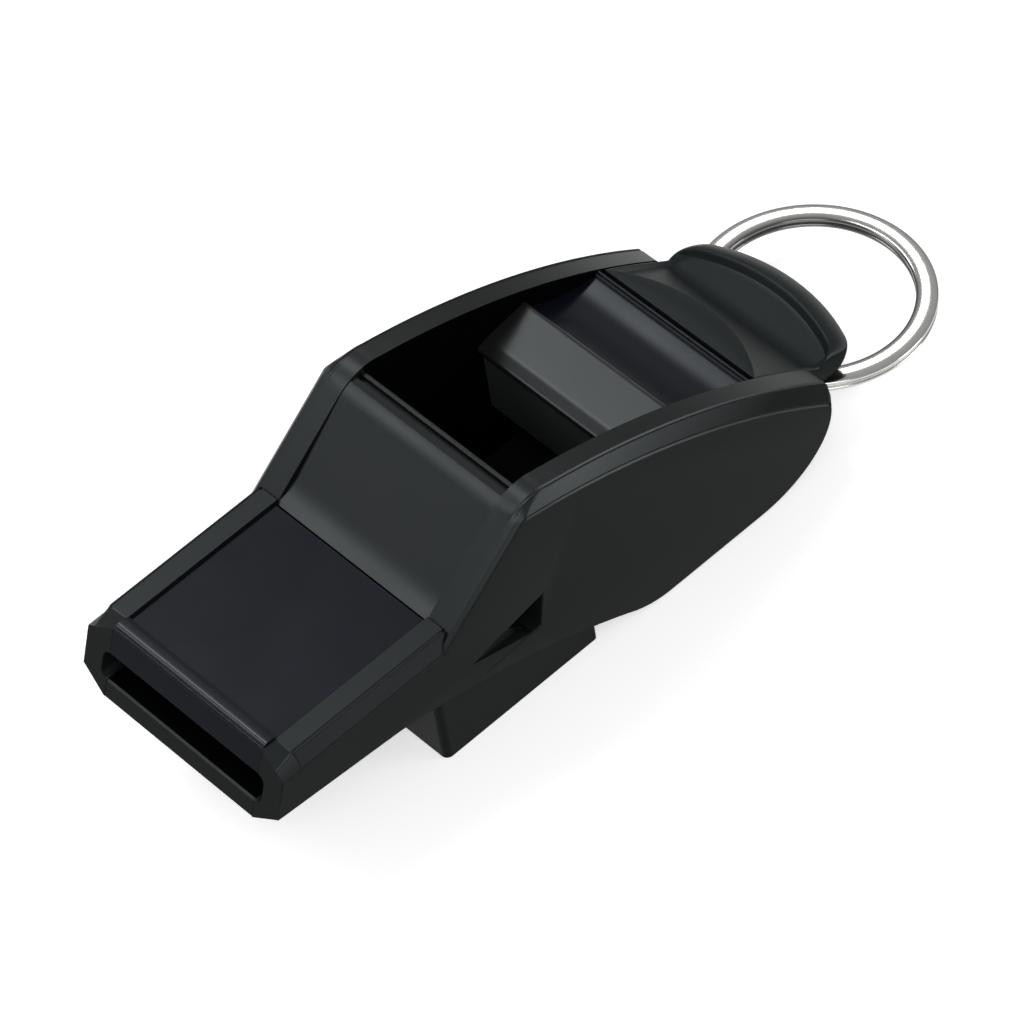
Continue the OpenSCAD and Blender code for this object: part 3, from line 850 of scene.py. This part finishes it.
def maths(tree, operation, *values, kind="Math"):
    """The result of a maths node, or of a vector one, fed from sockets or plain values."""
    node = add_node(tree, kind, dict(enumerate(values)), operation=operation)
    return node.outputs["Value" if operation == "DOT_PRODUCT" else 0]


def mixed(tree, factor, a, b, blend_type="MIX"):
    """The mix of two colours, from sockets or plain values."""
    node = add_node(tree, "Mix", {"Factor": factor, "A": a, "B": b}, data_type="RGBA",
                    blend_type=blend_type)
    return node.outputs["Result"]


def mapped(tree, value, low, high, start=0, end=1):
    """The value, mapped from start and end to low and high."""
    node = add_node(tree, "MapRange", {
        "Value": value, "From Min": start, "From Max": end, "To Min": low, "To Max": high})
    return node.outputs["Result"]


def clouds(tree, place, scale, detail):
    """A noise pattern that keeps its place on the piece."""
    node = add_node(tree, "TexNoise", {"Vector": place, "Scale": scale, "Detail": detail})
    return node.outputs["Fac"]


def toned(tint, tone):
    """The tint times a tone, as a node takes it."""
    return [c * tone for c in tint] + [1]


def blank(name):
    """A new material of that name, with its node tree and its shader."""
    material = bpy.data.materials.new(name)
    material.use_nodes = True
    return material, material.node_tree, material.node_tree.nodes["Principled BSDF"]


def plastic(name, tint, roughness, specular, steep, grain, grain_depth, bore=None, core=None):
    """Moulded black plastic. Its steep faces have the gloss steep. The grain is the size of
    its surface texture in metres. A bore is the place and height, in metres, from which on
    the windway gets painted shade, a dimmed colour and no gloss. A core is the place from
    which on, and the half width at which, inward faces get the same painted shade for the
    chamber, in metres too."""
    material, tree, shader = blank(name)
    place = add_node(tree, "TexCoord", {}).outputs
    facing = add_node(tree, "SeparateXYZ", {"Vector": place["Normal"]}).outputs
    cloud = clouds(tree, place["Object"], 1 / (CLOUD_GRAINS * grain), 4)
    tone = mixed(tree, cloud, *(toned(tint, t) for t in CLOUD_TONES))
    gloss = mapped(tree, facing["Z"], steep, specular, *STEEP)
    # Painted shade: deep in the windway and on the chamber's inward walls the colour is dimmed and
    # the gloss taken away
    if bore or core:
        split = add_node(tree, "SeparateXYZ", {"Vector": place["Object"]}).outputs
        if bore:
            hidden = maths(tree, "GREATER_THAN", split["Z"], bore[1])
        else:
            outward = maths(tree, "MULTIPLY", split["Y"], facing["Y"])
            hidden = maths(tree, "LESS_THAN", outward, -core[1] * INWARD)
        behind = maths(tree, "GREATER_THAN", split["X"], (bore or core)[0])
        painted_shade = maths(tree, "MULTIPLY", behind, hidden)
        gloss = maths(tree, "MULTIPLY", gloss, maths(tree, "SUBTRACT", 1, painted_shade))
        tone = mixed(tree, painted_shade, tone, toned(tint, PAINTED_SHADE_TONE))
    texture = clouds(tree, place["Object"], 1 / grain, 2)
    bump = add_node(tree, "Bump", {"Height": texture, "Distance": grain_depth})
    feed(tree, shader, {
        "Base Color": tone, "Specular IOR Level": gloss, "Specular Tint": (*GLOSS_TINT, 1),
        "Roughness": mapped(tree, cloud, roughness - CLOUD_SPREAD, roughness + CLOUD_SPREAD),
        "Normal": bump.outputs["Normal"]})
    return material


def nickel(name, tint, roughness, inner, side, middle):
    """Bright nickel plating with fine drawing marks. The shares inner and side say how
    bright the ring's inner and outer walls are, as painted shade that scales their colour,
    and middle is the ring's middle in metres."""
    material, tree, shader = blank(name)
    place = add_node(tree, "TexCoord", {}).outputs
    away = maths(tree, "SUBTRACT", place["Object"], middle, kind="VectorMath")
    away = maths(tree, "NORMALIZE", away, kind="VectorMath")
    outward = maths(tree, "DOT_PRODUCT", away, place["Normal"], kind="VectorMath")
    spread = maths(tree, "ADD", maths(tree, "MULTIPLY", outward, 0.5), 0.5)
    # Painted shade: the nickel's colour is lowered on the ring's inner wall, and less on its outer
    # wall
    wall = add_node(tree, "ValToRGB", {"Fac": spread})
    wall.color_ramp.elements.new(RING_PAINTED_SHADE_STOPS[1])
    for element, position, tone in zip(wall.color_ramp.elements, RING_PAINTED_SHADE_STOPS, (inner, 1, side)):
        element.position = position
        element.color = (tone, tone, tone, 1)
    cloud = clouds(tree, place["Object"], NICKEL_CLOUDS, 5)
    tone = mixed(tree, cloud, *(toned(tint, t) for t in NICKEL_TONES))
    marks = clouds(tree, place["Object"], NICKEL_MARKS, 2)
    bump = add_node(tree, "Bump", {"Height": marks, "Distance": MARK_DEPTH})
    feed(tree, shader, {
        "Metallic": 1, "Base Color": mixed(tree, 1, tone, wall.outputs["Color"], "MULTIPLY"),
        "Roughness": mapped(tree, cloud, roughness - NICKEL_SPREAD, roughness + NICKEL_SPREAD),
        "Normal": bump.outputs["Normal"]})
    return material


def finish_material(scene, kind):
    """The material of that kind, made once from the finishes."""
    if kind in bpy.data.materials:
        return bpy.data.materials[kind]
    f = scene.whistle_finish
    lines = Lines(scene)
    if kind == "nickel":
        ring = bench(scene.whistle_ring)
        middle = Vector((ring_middle(lines, ring), 0, ring.height)) * MM + Vector((FRONT_X, 0, 0))
        return nickel(kind, f.ring_colour, f.ring_roughness, f.ring_inner_painted_shade, f.ring_outer_painted_shade,
                      middle)
    tint, surface = PLASTICS.get(kind, ("body", "body"))
    specular, polish = f.specular, 1
    bore = core = None
    if kind == "panel_plastic":
        specular, polish = f.panel_specular, f.polish
    # The side shells and the windway floor get painted shade where they lie deep inside
    if kind == "shell_plastic":
        core = (FRONT_X + lines.window_x * MM, lines.body.core * MM)
    if kind == "windway_plastic":
        edge = Vector((lines.face_x(lines.mouth.slot_low), lines.mouth.slot_low))
        bore = (FRONT_X + (edge.x + lines.body.soft_edge * 2) * MM, (edge.y - APART) * MM)
    return plastic(kind, getattr(f, tint + "_colour"), getattr(f, surface + "_roughness"),
                   specular, f.steep, f.grain, f.grain_depth * polish, bore, core)


class WHISTLE_OT_side_shells(bpy.types.Operator):
    """Models the two side shells with their ports and the round ends of the blowing slot"""

    bl_idname = "whistle.side_shells"
    bl_label = "Side shells"

    def execute(self, context):
        lines = Lines(context.scene)
        body = lines.body
        port = bench(context.scene.whistle_ports)
        sections = []
        for out, *layer in EDGE_LAYERS:
            y = body.core if out is None else body.half_width - out * body.edge
            sections.append((y, lines.shell(y, *layer)))
        shell = skin(sections)
        # The line between the band and the side face is sunk along the upper edges only
        for y, _ in sections[-3:-1]:
            edit(shell, "VERT", lambda p: abs(p.y - y) < TINY and p.z < (
                MOUTH_MIDDLE if p.x < TAIL_START else TAIL_MIDDLE))
            move(0, sections[-1][0] - TINY - y, 0)
            leave()

        top = Vector((port.x, port.height))
        corners = [top - Vector((port.reach * s, port.rise * t)) for s, t in PORT_CORNERS]
        carve(shell, block([top] + corners, body.half_width + OVER, body.core - OVER))
        tip = Vector((corners[-1].x - port.recess, port.height - port.rise * RECESS_TIP))
        carve(shell, recess(tip, corners[-1], corners[-2], body.half_width, port.recess_depth))
        trim(shell, body.soft_edge, lambda p: (
            port.x - port.reach - TINY < p.x < port.x + TINY
            and port.height - port.rise - TINY < p.z < port.height + TINY))
        # The trim can stand out a little past the outer face
        for v in shell.data.vertices:
            v.co.y = min(v.co.y, body.half_width)
        carve(shell, slot_end(lines))
        shade(shell, limit=14)
        other = mirrored(shell)
        hand_over(shell, "shell_left", "left_side_shell", "shell_plastic")
        hand_over(other, "shell_right", "right_side_shell", "shell_plastic")
        return {"FINISHED"}


def recess(tip, front, toe, face, depth):
    """A wedge that is sunk into a side face from its tip to the port's sloping edge."""
    wedge = block([tip, front, toe], face, face + OVER)
    edit(wedge, "VERT", lambda p: p.y < face + TINY and p.x > tip.x + TINY)
    move(0, -depth, 0)
    return close(wedge)


def slot_end(lines):
    """The round end of the blowing slot in the left side shell."""
    body, mouth = lines.body, lines.mouth
    x0 = lines.face_x(mouth.slot_low) - OVER
    x1 = lines.face_x(mouth.slot_low) + mouth.slot_depth
    tool = primitive(
        "cube", size=1, scale=(x1 - x0, mouth.slot_end * 2, mouth.slot_height),
        location=((x0 + x1) / 2, body.core, mouth.slot_low + mouth.slot_height / 2))
    edit_edges(tool, lambda p, q: min(p.y, q.y) > body.core and abs(p.z - q.z) < TINY)
    bpy.ops.mesh.bevel(offset=mouth.slot_end * ALMOST, segments=SMALL_STEPS)
    return close(tool)


class WHISTLE_OT_mouthpiece(bpy.types.Operator):
    """Models the mouthpiece's roof with its lip bar, and the floor of the windway"""

    bl_idname = "whistle.mouthpiece"
    bl_label = "Mouthpiece"

    def execute(self, context):
        lines = Lines(context.scene)
        body, mouth = lines.body, lines.mouth
        groove = mouth.groove
        rear = lines.mouth_x + mouth.bar
        points = path(
            (lines.face_x(lines.slot_top), lines.slot_top), (lines.mouth_x, mouth.top),
            (lines.mouth_x + groove, mouth.top + groove / 2),
            (lines.mouth_x + groove * 1.5, mouth.top - groove / 2))
        start = lines.mouth_x + groove * 2
        for s in shares(SMALL_STEPS):
            t = s ** 2
            rise = (mouth.bar_rise - groove / 2) * (1 - (1 - t) ** BAR_POWER)
            points += path((start + (rear - start) * t, mouth.top + groove / 2 + rise))
        ledge = (mouth.top + mouth.bar_rise + lines.panel) / 2
        crease_end = lines.panel - body.notch * 2
        points += path(
            (rear, ledge), (rear + mouth.ledge, ledge), (rear + mouth.ledge, lines.panel),
            (lines.crease - body.notch, lines.panel),
            (lines.crease - body.notch * 0.8, crease_end), (lines.crease, crease_end),
            (lines.crease, lines.slot_top))
        roof = soften(block(points, body.core), body.soft_edge * ROOF_EDGE)
        hand_over(roof, "roof", "mouthpiece_roof", "panel_plastic")

        depth, x, wall_x = lines.floor_depth, lines.window_x, lines.window_x - body.wall
        points = path(
            (lines.face_x(mouth.chin), mouth.chin), (lines.face_x(mouth.slot_low), mouth.slot_low),
            (lines.ramp_x(mouth.slot_low, depth), mouth.slot_low),
            (wall_x, lines.ramp(wall_x, depth)), (x, lines.ramp(wall_x, depth)),
            (x, lines.under(x) + body.wall), (wall_x, lines.under(wall_x) + body.wall),
            (wall_x, lines.ramp(wall_x, depth + body.wall)),
            (lines.floor_end, lines.under(lines.floor_end) + body.wall))
        points += reversed(lines.under_points(lines.chin_end, lines.floor_end, 0, SMALL_STEPS))
        floor = soften(block(points, body.core), body.soft_edge)
        hand_over(floor, "windway", "windway_floor", "windway_plastic")
        return {"FINISHED"}


class WHISTLE_OT_ramp(bpy.types.Operator):
    """Models the ramp cover between the side shells"""

    bl_idname = "whistle.ramp"
    bl_label = "Ramp"

    def execute(self, context):
        lines = Lines(context.scene)
        body, window = lines.body, lines.window
        slope, edge, x = window.ramp_slope, body.soft_edge, lines.window_x
        start = Vector((lines.crease, lines.panel - window.seam / 2))
        sunk = inside(lines.crown, slope, window.foot_sink)
        foot = meet(start, window.foot_slope, sunk, slope)
        points = [start]
        points += rounded(foot, window.foot_slope, slope, window.foot_radius, SMALL_STEPS)
        arc = rounded(lines.crown - Vector((0, window.seam)), slope, -lines.crown_tilt,
                      window.crown_radius, LARGE_STEPS)
        land_x = x - window.land
        groove_x = land_x - window.land_groove
        points += [p for p in arc if p.x < groove_x - window.land]
        top = points[-1].y
        bottom = top - window.land_groove
        lost = window.crown_radius * (1 / math.cos((slope + lines.crown_tilt) / 2) - 1)
        points += path(
            (groove_x, top), (groove_x, bottom), (land_x, bottom), (land_x, top),
            (x - edge, top - edge / 2), (x, top - edge), (x, lines.ramp(x, body.wall + lost)),
            (lines.ramp_x(lines.slot_top, body.wall), lines.slot_top),
            (lines.crease, lines.slot_top))
        ramp = shade(block(points, body.core), limit=12)
        hand_over(ramp, "ramp", "ramp_cover", "ramp_plastic")
        return {"FINISHED"}


class WHISTLE_OT_labium(bpy.types.Operator):
    """Models the labium wedge, and gives the chamber partition its finish, a lighter colour that is
    painted light
    """

    bl_idname = "whistle.labium"
    bl_label = "Labium"

    def execute(self, context):
        lines = Lines(context.scene)
        body, window = lines.body, lines.window
        low = window.nose_height - window.nose
        rear = window.ridge_x + window.nose / 2
        points = path((window.nose_x, low))
        for s in shares(LARGE_STEPS):
            rise = (window.ridge_height - window.nose_height) * s
            arch = window.bulge * min(s / NOSE_SHARE, (1 - s) / (1 - NOSE_SHARE))
            points += path((window.nose_x + (window.ridge_x - window.nose_x) * s,
                            window.nose_height + rise + arch))
        points += path((rear, window.ridge_height - window.nose / 2), (rear, low))
        labium = soften(block(points, body.core), body.soft_edge)
        hand_over(labium, "labium", "labium_wedge", "labium_plastic")
        # The partition's lighter plastic is painted light on its face
        dress(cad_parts["chamber_partition"], "partition_plastic")
        return {"FINISHED"}


class WHISTLE_OT_deck(bpy.types.Operator):
    """Models the deck panel behind the labium, with the double lip along its rear edge"""

    bl_idname = "whistle.deck"
    bl_label = "Deck"

    def execute(self, context):
        lines = Lines(context.scene)
        body, window = lines.body, lines.window
        edge = body.soft_edge
        start = window.ridge_x + window.nose / 2
        end = lines.window_end - window.lip
        high = window.ridge_height - window.deck_drop
        lip = lines.roof(lines.window_end) - window.lip_height / 2
        low = lip - window.lip_height
        points = []
        for s in shares(LARGE_STEPS):
            hollow = window.sag * math.sin(math.pi * s)
            points += path((start + (end - start) * s, high + (low - high) * s - hollow))
        slit_x = end + window.lip / 2
        points += path(
            (end, lip), (slit_x - edge, lip), (slit_x, low), (slit_x + edge, lip),
            (lines.window_end, lip), (lines.window_end, lip - body.wall),
            (start, window.nose_height - window.nose * 2))
        deck = soften(block(points, body.core), edge * DECK_EDGE)
        hand_over(deck, "deck", "rear_deck_panel", "panel_plastic")
        return {"FINISHED"}


class WHISTLE_OT_belly(bpy.types.Operator):
    """Models the belly with the tongue below the ring, and the finger fin"""

    bl_idname = "whistle.belly"
    bl_label = "Belly and fin"

    def execute(self, context):
        lines = Lines(context.scene)
        body, tail = lines.body, lines.tail
        heel_x = body.tail_x - body.heel
        channel, back, inner = channel_place(lines, bench(context.scene.whistle_ring))
        hollow = lines.under_points(lines.floor_end, lines.under_end, 0, LARGE_STEPS)
        outside = hollow + lines.belly_round(0)
        points = outside + heel_points(lines, heel_x, channel)
        points += path((channel, back), (channel - body.wall, inner))
        points += reversed(raised(heel_points(lines, heel_x, channel - body.wall), body.wall))
        points += reversed(raised(outside, body.wall))
        belly = block(points, body.core)
        carve(belly, tongue(lines, tail.tongue_top - tail.tongue, tail.tongue_top), "UNION")
        soften(belly, body.soft_edge)
        hand_over(belly, "belly", "belly_shell", "body_plastic")

        fin_length = (FIN_BOX[1].x - FIN_BOX[0].x) / MM
        points = path((0, 0)) + lines.under_points(0, fin_length, 0, LARGE_STEPS)
        fin = block(points + path((fin_length, 0)), FIN_BOX[1].y / MM)
        edit_edges(fin, lambda p, q: max(abs(p.x), abs(q.x), abs(p.y - q.y)) < TINY)
        bpy.ops.mesh.bevel(offset=FIN_ROUND, segments=SMALL_STEPS)
        close(fin)
        soften(fin, body.soft_edge * FIN_EDGE)
        hand_over(fin, "fin", "finger_fin", "body_plastic")
        return {"FINISHED"}


def ring_middle(lines, ring):
    """Place of the ring's middle."""
    return lines.body.tail_x - lines.body.wall * RING_REACH + ring.radius * math.cos(ring.slope)


def channel_place(lines, ring):
    """Place of the ring channel's front wall, and the heights of that wall's upper ends, on
    the channel's side and on the chamber's."""
    x = ring_middle(lines, ring) - ring.radius * math.cos(ring.slope) - ring.wire_width
    back = lines.roof(x) - lines.tail.saddle - lines.body.wall
    return x, back, back + lines.body.wall * math.tan(BACK_SLOPE)


def heel_points(lines, x0, x1):
    """Points of the heel's curve from x0 to x1."""
    steps = [x0 + (x1 - x0) * i / SMALL_STEPS for i in range(SMALL_STEPS + 1)]
    return [Vector((x, lines.heel(x))) for x in steps]


def tongue(lines, z0, z1):
    """A plate below the ring or inside it, with a round rear end, from z0 to z1."""
    body, tail = lines.body, lines.tail
    x0 = body.tail_x - body.heel + body.wall
    x1 = body.tail_x + tail.post_end - tail.post_width / 2
    plate = disc(x1, tail.post_width / 2, z0, z1, TONGUE_CORNERS)
    edit(plate, "FACE")
    bpy.ops.mesh.bisect(
        plane_co=(x1, 0, 0), plane_no=(1, 0, 0), clear_inner=True, use_fill=True)
    leave()
    edit(plate, "FACE", lambda p: p.x < x1 + TINY)
    pull(x0 - x1, 0, 0)
    return close(plate)


class WHISTLE_OT_tail(bpy.types.Operator):
    """Models the tail cap with its crescent land, finger saddle, rim and the ring's post"""

    bl_idname = "whistle.tail"
    bl_label = "Tail"

    def execute(self, context):
        lines = Lines(context.scene)
        body, tail = lines.body, lines.tail
        ring = bench(context.scene.whistle_ring)
        places = [body.core * i / CAP_STEPS * CAP_SHARE for i in range(CAP_STEPS)]
        for i in range(CAP_STEPS * 2 + 1):
            a = math.pi / 2 * (1 - (1 - i / CAP_STEPS / 2) * (1 - CAP_START))
            places.append(body.core - tail.corner * (1 - math.sin(a)))
        places = [-y for y in reversed(places[1:])] + places
        channel = channel_place(lines, ring)
        cap = skin([(y, lines.cap(y, *channel)) for y in places])
        trim(cap, body.soft_edge / 2, lambda p: p.x < body.tail_x and p.z > lines.roof(
            p.x) - tail.saddle, limit=24)

        low = tail.roll_height + tail.roll * math.cos(ROLL_TURN)
        post = tongue(lines, tail.tongue_top, low + body.wall / 2)
        reach = ring.radius - ring.wire_width / 2 - ring.play
        hoop = disc(ring_middle(lines, ring), reach, 0, body.crown_height, HOOP_CORNERS)
        carve(post, hoop, "INTERSECT")
        carve(cap, post, "UNION")
        shade(cap, limit=30)
        hand_over(cap, "tail", "tail_cap", "tail_plastic")
        return {"FINISHED"}


class WHISTLE_OT_ring(bpy.types.Operator):
    """Models the split ring as one flat wire that is wound twice"""

    bl_idname = "whistle.ring"
    bl_label = "Ring"

    def execute(self, context):
        ring = bench(context.scene.whistle_ring)
        wire = primitive("plane", size=1)
        edit(wire, "VERT")
        bpy.ops.mesh.bevel(offset=WIRE_ROUND, segments=SMALL_STEPS, affect="VERTICES")
        leave()
        wire.location = (ring.radius, 0, 0)
        wire.scale = (ring.wire_width, ring.wire * WIRE_FILL, 1)
        wire.rotation_euler = (math.pi / 2, 0, 0)
        edit(settle(wire), "VERT")
        move(0, 0, ring.wire / 2)
        turn(ring.end_turn + ring.cross_turn, "Z")
        wind(ring)
        for i in range(CROSS_STEPS):
            drop = smooth(i + 1, 0, CROSS_STEPS) - smooth(i, 0, CROSS_STEPS)
            pull(0, 0, -ring.wire * drop)
            turn(ring.cross_turn / CROSS_STEPS, "Z")
        wind(ring)
        close(wire)
        edit(wire, "VERT")
        turn(ring.slope, "Y")
        move(ring_middle(Lines(context.scene), ring), 0, ring.height)
        close(wire)
        soften(wire, ring.wire * WIRE_EDGE, limit=50)
        hand_over(wire, "ring", "split_ring", "nickel", body="ring")
        return {"FINISHED"}


def wind(ring):
    """Winds the selected end of the wire once round, up to where it crosses."""
    bpy.ops.mesh.spin(
        steps=RING_STEPS, angle=ring.cross_turn - math.tau, center=(0, 0, 0), axis=(0, 0, 1))


class WHISTLE_OT_stage(bpy.types.Operator):
    """Makes the floor, the lights and the camera"""

    bl_idname = "whistle.stage"
    bl_label = "Stage"

    def execute(self, context):
        scene = context.scene
        stage = scene.whistle_stage
        floor = primitive("plane", size=FLOOR_SIZE)
        floor.name = "floor"
        floor.data.materials.append(floor_material(stage))

        scene.world = bpy.data.worlds.new("studio")
        scene.world.use_nodes = True
        tree = scene.world.node_tree
        place = add_node(tree, "TexCoord", {}).outputs["Generated"]
        heading = add_node(tree, "SeparateXYZ", {"Vector": place}).outputs
        feed(tree, tree.nodes["Background"], {
            "Color": WHITE,
            "Strength": mapped(tree, heading["Z"], stage.horizon, stage.ambient, *SKY)})
        for name, direction, distance, width, depth in LIGHTS:
            area_light(name, Vector(direction), distance, width, depth, getattr(stage, name))

        camera = bpy.data.cameras.new("camera")
        camera.lens = stage.lens
        camera.sensor_width = 36
        camera.clip_end = 10
        view = bpy.data.objects.new("camera", camera)
        turned = Matrix(CAMERA_AXES).transposed().to_4x4()
        view.matrix_world = Matrix.Translation(CAMERA_PLACE) @ turned
        scene.collection.objects.link(view)
        scene.camera = view
        scene.view_settings.view_transform = "Standard"
        return {"FINISHED"}


def area_light(name, direction, distance, width, depth, brightness):
    """A soft light that faces the whistle from the given direction."""
    data = bpy.data.lights.new(name, "AREA")
    data.shape = "RECTANGLE"
    data.size = width
    data.size_y = depth
    data.energy = brightness * width * depth * math.pi
    light = bpy.data.objects.new(name, data)
    light.location = direction.normalized() * distance
    light.rotation_euler = direction.to_track_quat("Z", "Y").to_euler()
    bpy.context.scene.collection.objects.link(light)


def floor_material(stage):
    """A pale floor that keeps the shadow and is seen and reflected nearly white."""
    material, tree, shader = blank("pale_floor")
    ray = add_node(tree, "LightPath", {}).outputs
    seen = maths(tree, "MAXIMUM", ray["Is Camera Ray"], ray["Is Glossy Ray"])
    seen = maths(tree, "MAXIMUM", seen, ray["Is Transmission Ray"])
    feed(tree, shader, {
        "Base Color": (*stage.floor, 1), "Roughness": 0.9, "Specular IOR Level": 0,
        "Emission Color": WHITE,
        "Emission Strength": maths(tree, "MULTIPLY", seen, stage.floor_glow)})
    return material


class WHISTLE_PT_panel(bpy.types.Panel):
    bl_label = "Whistle"
    bl_idname = "WHISTLE_PT_panel"
    bl_space_type = "VIEW_3D"
    bl_region_type = "UI"
    bl_category = "Whistle"

    def draw(self, context):
        for operator in OPERATORS:
            self.layout.operator(operator.bl_idname)
        for name, group in GROUPS.items():
            box = self.layout.box()
            values = getattr(context.scene, name)
            for field in group.__annotations__:
                box.prop(values, field)


GROUPS = {
    "whistle_body": WhistleBody, "whistle_mouth": WhistleMouth,
    "whistle_window": WhistleWindow, "whistle_ports": WhistlePorts,
    "whistle_tail": WhistleTail, "whistle_ring": WhistleRing,
    "whistle_finish": WhistleFinish, "whistle_stage": WhistleStage}
OPERATORS = (
    WHISTLE_OT_side_shells, WHISTLE_OT_mouthpiece, WHISTLE_OT_ramp, WHISTLE_OT_labium,
    WHISTLE_OT_deck, WHISTLE_OT_belly, WHISTLE_OT_tail, WHISTLE_OT_ring, WHISTLE_OT_stage)


def register():
    for group in GROUPS.values():
        bpy.utils.register_class(group)
    for name, group in GROUPS.items():
        setattr(bpy.types.Scene, name, bpy.props.PointerProperty(type=group))
    for operator in OPERATORS:
        bpy.utils.register_class(operator)
    bpy.utils.register_class(WHISTLE_PT_panel)


def unregister():
    bpy.utils.unregister_class(WHISTLE_PT_panel)
    for operator in reversed(OPERATORS):
        bpy.utils.unregister_class(operator)
    for name, group in GROUPS.items():
        delattr(bpy.types.Scene, name)
        bpy.utils.unregister_class(group)


def main():
    register()
    bpy.ops.whistle.side_shells()
    bpy.ops.whistle.mouthpiece()
    bpy.ops.whistle.ramp()
    bpy.ops.whistle.labium()
    bpy.ops.whistle.deck()
    bpy.ops.whistle.belly()
    bpy.ops.whistle.tail()
    bpy.ops.whistle.ring()
    bpy.ops.whistle.stage()


if __name__ == "__main__":
    main()
